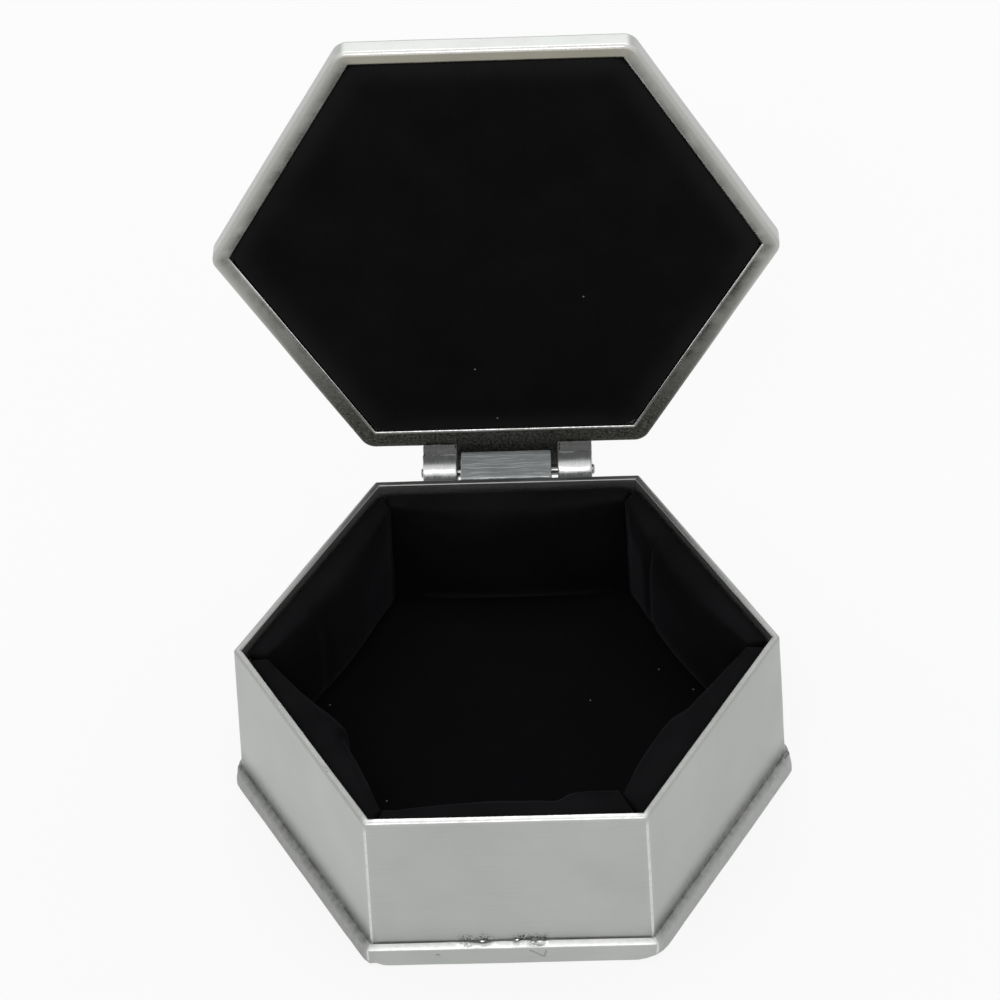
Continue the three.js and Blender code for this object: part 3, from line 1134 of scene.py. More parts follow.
    def build_plinth(self) -> None:
        """Models the base plate."""
        work = Workpiece(self.side_cuts)
        edge = self.plinth_top - self.ledge_fall
        crest = self.plinth_top + self.ledge_rise
        loops = work.loft(
            [
                Ring(self.plinth_flat, 0.0, self.plinth_corner_round),
                Ring(self.plinth_flat, edge, self.plinth_corner_round),
                Ring(self.foot_flat + self.seam_width, crest, self.plinth_corner_round),
                Ring(self.foot_flat + 0.4 * self.seam_width, crest - 0.05, self.plinth_corner_round),
                Ring(self.foot_flat - self.under_wall, crest - 0.1, self.plinth_corner_round),
            ]
        )
        work.round_edges(loops[1], self.plinth_edge_round, 3)
        work.round_edges(loops[0], self.plinth_foot_round, 4)
        for wall in Wall:
            work.slice(wall.turn @ X_AXIS, [self.plinth_flat * FLAT_TO_HALF_SIDE - self.plinth_corner_cut])
        work.slice(Z_AXIS, self.plinth_cuts)
        self.round_side_corners(work, edge)

        def wear_and_highlight(vert: BMVert) -> float:
            """Burnish on the ledge, down to its outer edge, and on the front corners, with a painted
            highlight along the front ledge.

            Args:
                vert: a vertex of the plinth.
            Returns:
                A share from 0 to 1.
            """
            high = smooth_step((vert.co.z - edge + 0.1) / 0.12)
            high *= smooth_step((flat_reach(vert.co) - self.foot_flat) / self.seam_width)
            at_corner = bell((self.front_angle(vert.co) - 180.0 / SIDES) / 0.25)
            upright = 0.6 * at_corner * smooth_step((vert.co.z - 0.9) / 0.8)
            # Painted highlight: the front ledge is lighter than the side ledges.
            front = self.front_share(vert.co) * (1.0 - 0.4 * self.flaw(vert.co))
            return max(high * (self.ledge_side_polish + self.front_ledge_highlight * front), upright)

        def grime_and_shade(vert: BMVert) -> float:
            """Grime and painted shade on every side but the front, the most where the plate meets the wall.

            Args:
                vert: a vertex of the plinth.
            Returns:
                A share from 0 to 1.
            """
            ledge = smooth_step((vert.co.z - self.plinth_top + 0.5) / 0.5)
            inside = smooth_step((self.foot_flat + 0.7 - flat_reach(vert.co)) / 0.7)
            left = self.plate_left_grime_and_shade * smooth_step(-vert.co.x / self.soil_span)
            on_ledge = (self.ledge_grime_and_shade + self.ledge_inner_grime_and_shade * inside) * ledge
            return (self.plate_grime_and_shade + left + on_ledge) * (1.0 - self.front_share(vert.co))

        def seam(vert: BMVert) -> float:
            """The dark line along the wall's foot at the front."""
            inside = smooth_step(1.0 - (flat_reach(vert.co) - self.foot_flat) / self.seam_width)
            return self.seam_soil * inside * smooth_step(vert.co.z - 2.0) * self.front_share(vert.co)

        def ledge_flaw(vert: BMVert) -> float:
            """Pits in the upper half of the ledge, where the solder is corroded."""
            return 0.6 * self.flaw(vert.co) * smooth_step((vert.co.z - edge - 0.2) / 0.3)

        self.scratch_plinth(work)
        for at, half in self.flaws:
            work.refine(Vector((at, -self.plinth_flat, crest)), half + 0.4, 2)
        work.paint("wear_and_highlight", wear_and_highlight)
        # Grime with painted shade on the sides, the dark seam at the front, and dirt in the scratch and the
        # pit.
        work.paint("grime_and_shade", lambda vert: max(grime_and_shade(vert), seam(vert), self.scratch_soil(vert)))
        work.paint("pits", ledge_flaw)
        for wave in self.plinth_waves:
            work.wobble(wave)
        work.wobble(self.plinth_corrosion, lambda point: self.flaw(point) if point.z > edge + 0.1 else 0.0)
        for vert in work.bm.verts:
            vert.co.z = max(vert.co.z, 0.0)
        even_normals(work.publish("plinth", self.finishes.body, Body.BOX, Slot.PEWTER, ["base_plate"]))

    def round_side_corners(self, work: Workpiece, edge: float) -> None:
        """Rounds the plinth's left and right corners, which are softer than the front ones.

        Args:
            work: the plinth in the making.
            edge: height of the ledge's outer edge.
        """
        radius = self.side_corner_round
        middle = (self.plinth_flat - radius) / CORNER_TO_FLAT
        for vert in work.bm.verts:
            side = math.copysign(1.0, vert.co.x)
            out = vert.co - Vector((side * middle, 0.0, vert.co.z))
            in_wedge = abs(out.y) < side * out.x * FLAT_TO_HALF_SIDE
            if in_wedge and out.length > radius:
                vert.co -= out * (1.0 - radius / out.length)
        for side in (-1.0, 1.0):
            tip = Vector((side * (middle + radius), 0.0, edge))
            push = Vector((-self.side_tip_push * side, 0.0, -self.side_tip_push))
            work.dent(tip, self.side_tip_reach, push)

    @property
    def scratch_path(self) -> list[Vector]:
        """The v-shaped scratch on the plinth's front face."""
        face = -self.plinth_flat
        return [Vector((2.4, face, 2.9)), Vector((4.3, face, 1.5)), Vector((4.6, face, 2.7))]

    def scratch_share(self, point: Vector) -> float:
        """How near a point is to the scratch, from 0 to 1."""
        path = self.scratch_path
        return bell(min(distance_to_line(point, a, b) for a, b in zip(path, path[1:])) / self.scratch_width)

    def scratch_soil(self, vert: BMVert) -> float:
        """Dirt in the scratch and in the pit beside it."""
        in_pit = bell((vert.co - self.pit).length / self.pit_dirt_reach)
        return self.scratch_dirt * self.scratch_share(vert.co) + self.pit_dirt * in_pit

    @property
    def pit(self) -> Vector:
        """A casting pit on the plinth's front face."""
        return Vector((-10.3, -self.plinth_flat, 2.2))

    def scratch_plinth(self, work: Workpiece) -> None:
        """Cuts the scratch and the pit, and wears down the two front corners.

        Args:
            work: the plinth in the making.
        """
        middle = self.scratch_path[1] + Vector((-0.6, 0.0, 0.5))
        for reach in (2.6, 2.0, 1.6):
            work.refine(middle, reach, 1)
        for reach in (1.3, 0.8, 0.5):
            work.refine(self.pit, reach, 1)
        for vert in work.bm.verts:
            vert.co.y += self.scratch_depth * self.scratch_share(vert.co)
        work.dent(self.pit, self.pit_reach, Y_AXIS * self.pit_depth)
        half_side = self.plinth_flat * FLAT_TO_HALF_SIDE
        chipped = Vector((-0.97 * half_side, -0.99 * self.plinth_flat, 0.0))
        work.dent(chipped, self.chip_reach, self.chip_push)
        worn = Vector((half_side, -self.plinth_flat, 0.0))
        for vert in work.bm.verts:
            near = max(0.0, 1.0 - (vert.co - worn).length / self.worn_reach)
            vert.co += self.worn_shift * near * near

    def build_solder(self) -> None:
        """Models the lumpy fillet of solder between the wall and the plinth."""
        top = self.plinth_top
        bottom = top - 0.03

        def crease(vert: BMVert) -> float:
            """Share of the grime, the most in the middle of the fillet."""
            return 0.5 + 0.5 * bell((flat_reach(vert.co) - self.foot_flat - 0.1) / 0.14)

        work = Workpiece(self.solder_cuts)
        work.loft(
            [
                Ring(self.foot_flat - 0.12, top + self.solder_rise, self.corner_round),
                Ring(self.foot_flat + 0.02, top + 0.5 * self.solder_rise, self.corner_round),
                Ring(self.foot_flat + 0.18, top + 0.2 * self.solder_rise, self.corner_round),
                Ring(self.foot_flat + self.solder_reach, bottom, self.corner_round),
                Ring(self.foot_flat - self.under_wall, bottom, self.corner_round),
            ],
            closed=True,
        )
        for vert in work.bm.verts:
            share = mix(1.0, self.solder_front_share, self.front_share(vert.co))
            vert.co.z = top + (vert.co.z - top) * share
            vert.co.y += (1.0 - share) * 0.8 * self.solder_reach
        for wave in self.solder_waves:
            work.wobble(wave)
        work.wobble(self.solder_corrosion, self.flaw)
        work.paint("pits", lambda vert: 0.9 * self.flaw(vert.co))
        # Crease grime with painted shade, least at the front.
        work.paint("grime_and_shade", lambda vert: self.solder_grime_and_shade * crease(vert) * self.side_grime_and_shade(vert.co))
        # Painted highlight on the front of the fillet.
        work.paint("wear_and_highlight", lambda vert: self.solder_front_highlight * self.front_share(vert.co))
        work.publish("solder_seam", self.finishes.body, Body.BOX, Slot.PEWTER, [])

    def build(self) -> None:
        """Builds every piece of the body."""
        self.build_band()
        self.build_plinth()
        self.build_solder()


@dataclass
class LidAxis:
    """The hinge's axis and the swing from shut to the open stop."""

    pin: Vector = field(init=False)
    travel: float = field(init=False)
    swing: Matrix = field(init=False)

    def __post_init__(self) -> None:
        """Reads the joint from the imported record."""
        joint = frame["joints"][0]
        self.pin = Vector(joint["pos_m"]) / MM
        self.travel = math.radians(joint["range_deg"][1])
        there = Matrix.Translation(self.pin)
        self.swing = there @ Matrix.Rotation(-self.travel, 4, "X") @ there.inverted()


@dataclass
class HingeSet:
    """The block on the back wall, the lid's two ears and the wire through them."""

    finishes: Finishes
    axis: LidAxis
    body: BoxBody
    seat_gap: float = 0.05
    bore: float = 0.82
    edge_round: float = 0.22
    round_steps: int = 24
    arc_steps: int = 14
    block_pitch: float = 0.6
    block_wear_and_highlight: tuple[float, float] = (14.0, 30.0)
    block_wave: Wave = Wave(0.06, 1.7, 51.0)
    strap_end: float = -3.0
    strap_thickness: float = 1.0
    strap_fillet: float = 0.7
    strap_lean: float = 15.0
    heel_clearance: float = 0.37
    ear_pitch: tuple[float, float] = (0.5, 0.28)
    ear_waves: dict[EarSide, Wave] = field(
        default_factory=lambda: {EarSide.LEFT: Wave(0.07, 1.4, 61.0), EarSide.RIGHT: Wave(0.07, 1.4, 67.0)}
    )
    ear_upper_shade: float = 0.36
    ear_under_shade: float = 0.4
    solder_width: float = 0.34
    wire_radius: float = 0.75
    wire_head: float = 0.35
    wire_pitch: float = 1.5
    wire_wave: Wave = Wave(0.03, 1.0, 71.0)

    def outline(
        self, work: Workpiece, x: float, path: Sequence[tuple[float, float]], arcs: dict[int, float]
    ) -> BMFace:
        """Draws a face across the axis from a path of points about the pin, in (y, z).

        Args:
            work: the mesh in the making.
            x: where along the axis.
            path: the points.
            arcs: by the index of a point, the angle in degrees that an arc about the pin turns from it.
        Returns:
            The face.
        """
        centre = Vector((x, self.axis.pin.y, self.axis.pin.z))
        verts: list[BMVert] = []
        for index, (y, z) in enumerate(path):
            verts.append(work.bm.verts.new(centre + Vector((0.0, y, z))))
            for step in range(1, self.arc_steps if index in arcs else 1):
                turn = Matrix.Rotation(math.radians(arcs[index] * step / self.arc_steps), 3, "X")
                verts.append(work.bm.verts.new(centre + turn @ Vector((0.0, y, z))))
        return work.bm.faces.new(verts)

    @staticmethod
    def stretch(work: Workpiece, face: BMFace, width: float) -> None:
        """Stretches a face along the axis into a solid.

        Args:
            work: the mesh in the making.
            face: the face at the solid's left end.
            width: the solid's width.
        """
        made = bmesh.ops.extrude_face_region(work.bm, geom=[face])["geom"]
        moved = [g for g in made if isinstance(g, BMVert)]
        bmesh.ops.translate(work.bm, vec=X_AXIS * width, verts=moved)
        work.face_outwards()

    def drill(self, work: Workpiece) -> None:
        """Drills the bore for the wire through both end faces.

        Args:
            work: the mesh in the making.
        """
        ends = sorted((f for f in work.bm.faces if len(f.verts) > 8), key=lambda f: f.calc_center_median().x)
        rims = [(f.calc_center_median().x, list(f.edges)) for f in ends]
        bmesh.ops.delete(work.bm, geom=ends, context="FACES_ONLY")
        bores = []
        for x, rim in rims:
            place = Matrix.Translation((x, self.axis.pin.y, self.axis.pin.z)) @ ALONG_X
            hole = bmesh.ops.create_circle(
                work.bm, segments=self.round_steps, radius=self.bore, matrix=place
            )["verts"]
            bores.append(list({e for v in hole for e in v.link_edges}))
            bmesh.ops.bridge_loops(work.bm, edges=rim + bores[-1])
        bmesh.ops.bridge_loops(work.bm, edges=bores[0] + bores[1])
        work.face_outwards()

    def build_block(self) -> None:
        """Models the middle knuckle, flat and filed on top and round behind."""
        low, high = node_box("hinge_block")
        pin = self.axis.pin
        radius = high.z - pin.z
        top_front = self.body.rim_flat + self.seat_gap - pin.y
        bottom_front = low.y - pin.y
        work = Workpiece()
        path = [(bottom_front, -radius), (0.0, -radius), (0.0, radius), (top_front, radius)]
        face = self.outline(work, low.x, path, {1: 180.0})
        self.stretch(work, face, high.x - low.x)
        work.round_edges(work.sharp_edges(50.0), self.edge_round, 3)
        self.drill(work)
        work.slice(X_AXIS, marks(low.x, self.block_pitch, 21))
        work.slice(Y_AXIS, [pin.y, *marks(pin.y, -self.block_pitch, 6)])
        # Burnish on the sharper edges, which also paints a highlight along the top's far edge.
        work.paint_wear_and_highlight(*self.block_wear_and_highlight)
        work.wobble(self.block_wave)
        block = work.publish("hinge_block_filed", self.finishes.filed, Body.BOX, Slot.HINGE, ["hinge_block"])
        even_normals(block)

    def build_ear(self, side: EarSide) -> None:
        """Models one of the lid's knuckles, drawn shut and swung open.

        Args:
            side: which one.
        """
        node = f"hinge_ear_{side.value}"
        low, high = node_box(node)
        radius = node_box("hinge_block")[1].z - self.axis.pin.z
        top = self.axis.pin.z + radius
        lean = math.radians(self.strap_lean)
        work = Workpiece()
        path = [
            (self.strap_end, radius),
            (0.0, radius),
            (radius, 0.0),
            (radius, -self.heel_drop(radius)),
            (0.0, -radius),
            (-radius * math.cos(lean), radius * math.sin(lean)),
            (self.strap_end, radius - self.strap_thickness),
        ]
        face = self.outline(work, low.x, path, {1: -90.0, 4: -(90.0 + self.strap_lean)})
        self.stretch(work, face, high.x - low.x)
        inner = [e for e in work.sharp_edges(20.0) if self.is_strap_corner(e, path[5])]
        work.round_edges(inner, self.strap_fillet, 6)
        free = [e for e in work.sharp_edges(50.0) if not self.is_strap_corner(e, path[0])]
        work.round_edges(free, self.edge_round, 3)
        self.drill(work)
        across, down = self.ear_pitch
        work.slice(X_AXIS, marks(low.x, across, 9))
        work.slice(Z_AXIS, marks(top, -down, 6))

        def wear_and_highlight(vert: BMVert) -> float:
            """A rough bright line of solder along the rim, and a painted highlight band low on the barrel.

            Args:
                vert: a vertex of the shut ear.
            Returns:
                A share from 0 to 1.
            """
            spread = 0.75 + 0.7 * noise.noise(vert.co * 2.3)
            solder = bell((vert.co.z - top) / self.solder_width) * spread
            return min(1.0, max(0.0, solder) + bell((self.angle(vert) + 44.0) / 15.0))

        def grime_and_shade(vert: BMVert) -> float:
            """Painted shade on the strap and the upper barrel, and again under the barrel.

            Args:
                vert: a vertex of the shut ear.
            Returns:
                A share from 0 to 1.
            """
            mottled = 0.8 + 0.5 * noise.noise(vert.co * 1.7)
            upper = smooth_step((self.angle(vert) + 40.0) / 26.0)
            under = smooth_step((-56.0 - self.angle(vert)) / 16.0)
            return min(1.0, mottled * max(self.ear_upper_shade * upper, self.ear_under_shade * under))

        # Paints the solder line, a painted highlight band and painted shade on the knuckle.
        work.paint("wear_and_highlight", wear_and_highlight)
        work.paint("grime_and_shade", grime_and_shade)
        work.wobble(self.ear_waves[side])
        work.transform(self.axis.swing)
        name = f"lid_knuckle_{side.value}"
        even_normals(work.publish(name, self.finishes.hinge, Body.LID, Slot.HINGE, [node]))

    def angle(self, vert: BMVert) -> float:
        """The turn about the pin of a vertex of the shut lid, in degrees up from the front."""
        return math.degrees(math.atan2(vert.co.z - self.axis.pin.z, self.axis.pin.y - vert.co.y))

    def is_strap_corner(self, edge: BMEdge, corner: tuple[float, float]) -> bool:
        """Whether an edge runs along the axis at a corner of the outline.

        Args:
            edge: the edge.
            corner: the corner about the pin, in (y, z).
        Returns:
            True if it does.
        """
        place = Vector((0.0, self.axis.pin.y + corner[0], self.axis.pin.z + corner[1]))
        return all((v.co - place).yz.length < 0.05 for v in edge.verts)

    def heel_drop(self, radius: float) -> float:
        """How far below the pin the heel reaches when shut, to meet the wall when open.

        Args:
            radius: the knuckle's radius.
        Returns:
            The drop in millimetres.
        """
        room = self.axis.pin.y - self.body.rim_flat - self.heel_clearance
        return (room + radius * math.cos(self.axis.travel)) / math.sin(self.axis.travel)

    def build_wire(self) -> None:
        """Models the hinge wire with its peened ends."""
        low, high = node_box("hinge_pin")
        work = Workpiece()
        bmesh.ops.create_cone(
            work.bm,
            cap_ends=True,
            segments=self.round_steps,
            radius1=self.wire_radius,
            radius2=self.wire_radius,
            depth=high.x - low.x,
            matrix=Matrix.Translation(0.5 * (low + high)) @ ALONG_X,
        )
        work.round_edges(work.sharp_edges(60.0), self.wire_head, 4)
        work.slice(X_AXIS, marks(low.x, self.wire_pitch, 16))
        work.wobble(self.wire_wave)
        work.publish("hinge_wire", self.finishes.wire, Body.BOX, Slot.WIRE, ["hinge_pin"])

    def build(self) -> None:
        """Builds every piece of the hinge."""
        self.build_block()
        for side in EarSide:
            self.build_ear(side)
        self.build_wire()


@dataclass
class LidTray:
    """The lid's tray, with its rim, its recess and the tongue behind the knuckles."""

    finishes: Finishes
    axis: LidAxis
    body: BoxBody
    side_cuts: int = 39
    overhang: float = 1.95
    rim_width: float = 2.45
    recess_shift: float = 0.5
    recess_depth: float = 1.8
    thickness: float = 3.4
    seat_gap: float = 0.25
    corner_round: float = 2.2
    edge_round: float = 0.8
    rim_round: float = 0.45
    recess_round: float = 0.14
    rim_shares: tuple[float, ...] = (0.16, 0.4, 0.7)
    side_step: float = 0.6
    tongue_thickness: float = 1.2
    waves: tuple[Wave, ...] = (Wave(0.05, 11.0, 81.0), Wave(0.008, 2.6, 83.0))
    front_turn: float = 27.0
    front_blend: float = 6.0
    outer_wear: float = 0.2
    rim_wear_and_highlight: float = 0.1
    front_rim_highlight: float = 0.65
    side_polish: float = 0.1
    outer_soil: float = 0.06
    rim_soil: float = 0.05
    blend_span: float = 10.0
    left_smudge: tuple[float, float] = (0.95, 0.7)
    right_smudge: tuple[float, float] = (0.7, 1.05)
    side_tarnish: float = 0.3
    side_shift: float = field(init=False)

    def __post_init__(self) -> None:
        """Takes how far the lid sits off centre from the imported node."""
        low, high = node_box("lid_shell")
        self.side_shift = 0.5 * (low.x + high.x)

    @property
    def rim_face(self) -> float:
        """Height of the rim's face when shut."""
        return self.body.rim + self.seat_gap

    @property
    def flat(self) -> float:
        """From the lid's middle to a flat of its outline."""
        return self.body.rim_flat + self.overhang

    def build(self) -> None:
        """Builds the tray."""
        work = Workpiece(self.side_cuts)
        recess_flat = self.flat - self.rim_width
        floor = self.rim_face + self.recess_depth
        top = self.rim_face + self.thickness
        side = {"shift_x": self.side_shift}
        inner = Ring(recess_flat, self.rim_face, shift_y=-self.recess_shift, **side)
        outer = Ring(self.flat, self.rim_face, self.corner_round, **side)
        loops = work.loft(
            [
                replace(inner, height=floor),
                inner,
                *(self.between(inner, outer, share) for share in self.rim_shares),
                outer,
                replace(outer, height=self.rim_face + self.side_step),
                replace(outer, height=top),
            ]
        )
        self.add_tongue(work)
        work.round_edges(self.outline_edges(work, top), self.edge_round, 6)
        work.round_edges(self.outline_edges(work, self.rim_face), self.rim_round, 4)
        work.round_edges(loops[1], self.recess_round, 2)
        work.paint_wear_and_highlight(mask=self.edge_wear_and_highlight, least=self.side_wear)
        work.paint("grime_and_shade", self.grime_and_shade)
        work.paint("tarnish", self.tarnish)
        for wave in self.waves:
            work.wobble(wave)
        work.transform(self.axis.swing)
        even_normals(work.publish("lid_tray", self.finishes.lid, Body.LID, Slot.PEWTER, ["lid_shell"]))

    def outline_edges(self, work: Workpiece, height: float) -> list[BMEdge]:
        """The sharp edges of the lid's outline at a height, without the tongue's.

        Args:
            work: the lid in the making.
            height: the height.
        Returns:
            The edges.
        """

        def is_there(vert: BMVert) -> bool:
            """Whether a vertex lies on the outline.

            Args:
                vert: the vertex.
            Returns:
                True if it does.
            """
            level = abs(vert.co.z - height) < 1e-3
            outside = self.reach(vert.co) > self.flat - 0.5 * self.rim_width
            return level and outside and vert.co.y < self.flat + 0.05

        return [e for e in work.sharp_edges(60.0) if all(is_there(v) for v in e.verts)]

    @staticmethod
    def between(inner: Ring, outer: Ring, share: float) -> Ring:
        """An outline part of the way from one to another.

        Args:
            inner: the first outline.
            outer: the second.
            share: how far from the first to the second.
        Returns:
            The outline between them.
        """
        return Ring(*(mix(start, end, share) for start, end in zip(astuple(inner), astuple(outer))))

    def edge_wear_and_highlight(self, point: Vector) -> float:
        """Share of wear and painted highlight: wear on the outer edges and the rim, a painted highlight on
        the front of the rim, and a painted highlight on the recess edge towards the hinge.

        Args:
            point: a point of the shut lid.
        Returns:
            A share from 0 to 1.
        """
        if point.z > self.rim_face + 0.5:
            return self.outer_wear
        if self.reach(point) > self.flat - 0.5 * self.rim_width:
            return self.rim_wear_and_highlight + self.front_rim_highlight * self.front_share(point)
        # Painted highlight on the recess edge towards the hinge, stronger to the right.
        right = smooth_step((point.x - self.side_shift) / self.blend_span)
        recess_lip_highlight = max(0.3 + 0.5 * right, smooth_step((point.y + 4.0) / 8.0))
        return recess_lip_highlight * (1.0 - self.front_share(point))

    def front_share(self, point: Vector) -> float:
        """Whether a point is on the lid's front side, blended over the front corners."""
        turn = math.degrees(math.atan2(abs(point.x - self.side_shift), -point.y))
        return 1.0 - smooth_step((turn - self.front_turn) / self.front_blend)

    def side_wear(self, point: Vector) -> float:
        """The even polish of the lid's outer sides, which ends at the hinge."""
        outside = self.reach(point) > self.flat - 0.1 and point.z > self.rim_face + 0.4
        return self.side_polish if outside and point.y < self.flat else 0.0

    def reach(self, point: Vector) -> float:
        """How far out a point is from the lid's middle, measured across the flats."""
        return flat_reach(point, Vector((self.side_shift, 0.0)))

    def add_tongue(self, work: Workpiece) -> None:
        """Draws the tongue out of the lid's back face.

        Args:
            work: the lid in the making.
        """
        half = node_box("hinge_ear_right")[1].x
        back = self.back_faces(work)
        for plane, at in ((X_AXIS, -half), (X_AXIS, half), (Z_AXIS, self.rim_face + self.tongue_thickness)):
            geom = list({g for f in back for g in [f, *f.edges, *f.verts]})
            bmesh.ops.bisect_plane(
                work.bm, geom=geom, dist=MERGE_DISTANCE, plane_co=plane * at, plane_no=plane
            )
            back = self.back_faces(work)
        root = [f for f in back if abs(f.calc_center_median().x) < half and self.is_low(f)]
        made = bmesh.ops.extrude_face_region(work.bm, geom=root)["geom"]
        bmesh.ops.delete(work.bm, geom=[f for f in root if f.is_valid], context="FACES_ONLY")
        moved = [g for g in made if isinstance(g, BMVert)]
        reach = node_box("hinge_block")[1].y - self.flat
        bmesh.ops.translate(work.bm, vec=Y_AXIS * reach, verts=moved)
        work.face_outwards()

    def back_faces(self, work: Workpiece) -> list[BMFace]:
        """The faces of the lid's back side."""
        return [f for f in work.bm.faces if f.calc_center_median().y > self.flat - LEVEL_SLACK]

    def is_low(self, face: BMFace) -> bool:
        """Whether a back face lies at the tongue's height."""
        return face.calc_center_median().z < self.rim_face + self.tongue_thickness

    def tarnish(self, vert: BMVert) -> float:
        """Warm tarnish on the rim's face, strongest at the front."""
        face = 1.0 - smooth_step((vert.co.z - self.rim_face - 0.1) / 0.3)
        return face * mix(self.side_tarnish, 1.0, self.front_share(vert.co))

    def grime_and_shade(self, vert: BMVert) -> float:
        """Patchy grime on the rim beside the velvet, with painted shade towards the hinge, on the tongue and
        on the recess walls.

        Args:
            vert: a vertex of the shut lid.
        Returns:
            A share from 0 to 1.
        """
        depth = vert.co.z - self.rim_face
        middle = Vector((self.side_shift, -self.recess_shift))
        recess = flat_reach(vert.co, middle) - self.flat + self.rim_width
        in_recess = recess < 0.1 and 0.2 < depth < self.recess_depth + 0.2
        # Painted shade: full on the tongue and the recess walls.
        if vert.co.y > self.flat + 0.1 or in_recess:
            return 1.0
        if depth > 0.4:
            return self.outer_soil
        near = smooth_step(1.1 - (self.reach(vert.co) - self.flat + self.rim_width) / 1.8)
        patch = smooth_step(0.7 + 0.5 * noise.noise(vert.co / 3.0) + 0.35 * noise.noise(vert.co / 1.2))
        right = smooth_step((vert.co.x - self.side_shift) / self.blend_span)
        low = smooth_step(0.5 + 0.5 * vert.co.y / self.blend_span)
        most = mix(mix(*self.left_smudge, low), mix(*self.right_smudge, low), right)
        smudge = most * near * patch * (1.0 - self.front_share(vert.co))
        # Painted shade towards the hinge.
        hinge = smooth_step((vert.co.y - 2.0) / 33.0)
        return self.rim_soil + max(smudge, hinge)


@dataclass(frozen=True)
class Fold:
    """A fold in a wall pad, placed by its share of the half length from the middle."""

    kind: FoldKind
    at: float
    width: float
    depth: float

    def swell(self, along: float) -> float:
        """How far the fold stands out.

        Args:
            along: place along the wall, from -1 to 1.
        Returns:
            The height in millimetres.
        """
        offset = (along - self.at) / self.width
        if self.kind is FoldKind.FLAP:
            return self.depth * smooth_step(4.0 * offset) * (0.6 + 0.4 * smooth_step(offset))
        if self.kind is FoldKind.JAG:
            return self.depth * smooth_step(1.0 + offset) * (1.0 - smooth_step(6.0 * offset))
        return -self.depth * bell(offset)


@dataclass
class PadBlank:
    """A pad before it is swollen, in millimetres, with the rules that hold it in place."""

    name: str
    work: Workpiece
    body: Body
    nodes: list[str]
    material: bpy.types.Material
    is_held: Callable[[Vector], bool]
    fit: Callable[[Vector], Vector]
    painted_sheen: Callable[[Vector], float]
    fill: float
    voxel: float | None = None


@dataclass
class PadPress:
    """Swells pad blanks by cloth pressure in one run, at a larger scale that suits the solver."""

    bench_scale: float = 0.01
    pressure: float = 4.0
    smoothing: int = 2
    frames: int = 20
    cap: float = 0.4

    def remesh(self, blank: PadBlank) -> bpy.types.Object:
        """Makes an even mesh of a blank at bench scale.

        Args:
            blank: the pad.
        Returns:
            The object to simulate.
        """
        blank.work.transform(Matrix.Scale(self.bench_scale, 4))
        rough = bpy.data.meshes.new(blank.name + "_rough")
        blank.work.bm.to_mesh(rough)
        blank.work.bm.free()
        bench = bpy.data.objects.new(blank.name + "_bench", rough)
        bpy.context.scene.collection.objects.link(bench)
        if blank.voxel is None:
            return bench
        modifier = bench.modifiers.new("even", "REMESH")
        modifier.mode = "VOXEL"
        modifier.voxel_size = blank.voxel * self.bench_scale
        even = bpy.data.meshes.new_from_object(bench.evaluated_get(bpy.context.evaluated_depsgraph_get()))
        bench.modifiers.clear()
        bench.data = even
        bpy.data.meshes.remove(rough)
        return bench

    def tighten(self, bench: bpy.types.Object, blank: PadBlank) -> None:
        """Adds the cloth, held at its back.

        Args:
            bench: the object to simulate.
            blank: the pad's rules.
        """
        group = bench.vertex_groups.new(name="held")
        held = [v.index for v in bench.data.vertices if blank.is_held(v.co / self.bench_scale)]
        group.add(held, 1.0, "REPLACE")
        cloth = bench.modifiers.new("cloth", "CLOTH")
        cloth.settings.quality = 5
        cloth.settings.mass = 0.3
        cloth.settings.use_pressure = True
        cloth.settings.uniform_pressure_force = self.pressure
        cloth.settings.effector_weights.gravity = 0.0
        cloth.settings.vertex_group_mass = group.name
        cloth.point_cache.frame_start = 1
        cloth.point_cache.frame_end = self.frames

    def run(self, blanks: Sequence[PadBlank]) -> None:
        """Swells the pads and publishes them.

        Args:
            blanks: the pads.
        """
        benches = [self.remesh(blank) for blank in blanks]
        starts = [[v.co.copy() for v in bench.data.vertices] for bench in benches]
        for bench, blank in zip(benches, blanks):
            self.tighten(bench, blank)
        for number in range(1, self.frames + 1):
            bpy.context.scene.frame_set(number)
        graph = bpy.context.evaluated_depsgraph_get()
        for bench, blank, start in zip(benches, blanks, starts):
            swollen = bpy.data.meshes.new_from_object(bench.evaluated_get(graph))
            self.finish(blank, swollen, start)
        for bench in benches:
            bpy.data.objects.remove(bench)
        bpy.context.scene.frame_set(1)

    def finish(self, blank: PadBlank, swollen: bpy.types.Mesh, start: Sequence[Vector]) -> None:
        """Caps the swelling, fits the pad to its place and publishes it.

        Args:
            blank: the pad's rules.
            swollen: the simulated mesh at bench scale.
            start: its points before that.
        """
        work = Workpiece()
        work.bm.from_mesh(swollen)
        bpy.data.meshes.remove(swollen)
        work.transform(Matrix.Scale(1.0 / self.bench_scale, 4))
        work.bm.verts.ensure_lookup_table()
        for vert, before in zip(work.bm.verts, start):
            origin = before / self.bench_scale
            move = vert.co - origin
            vert.co = origin + move * min(1.0, self.cap / max(move.length, 1e-6))
        for _ in range(self.smoothing if blank.voxel else 0):
            bmesh.ops.smooth_vert(
                work.bm, verts=work.bm.verts[:], factor=0.5, use_axis_x=True, use_axis_y=True, use_axis_z=True
            )
        for vert in work.bm.verts:
            vert.co = blank.fit(vert.co)
        # Paints the painted sheen, a lighter pile on the pad's edges.
        work.paint("painted_sheen", lambda vert: blank.painted_sheen(vert.co))
        pad = work.publish(blank.name, blank.material, blank.body, Slot.VELVET, blank.nodes)
        subdivision = pad.modifiers.new("soften", "SUBSURF")
        subdivision.levels = 1
        subdivision.render_levels = 1


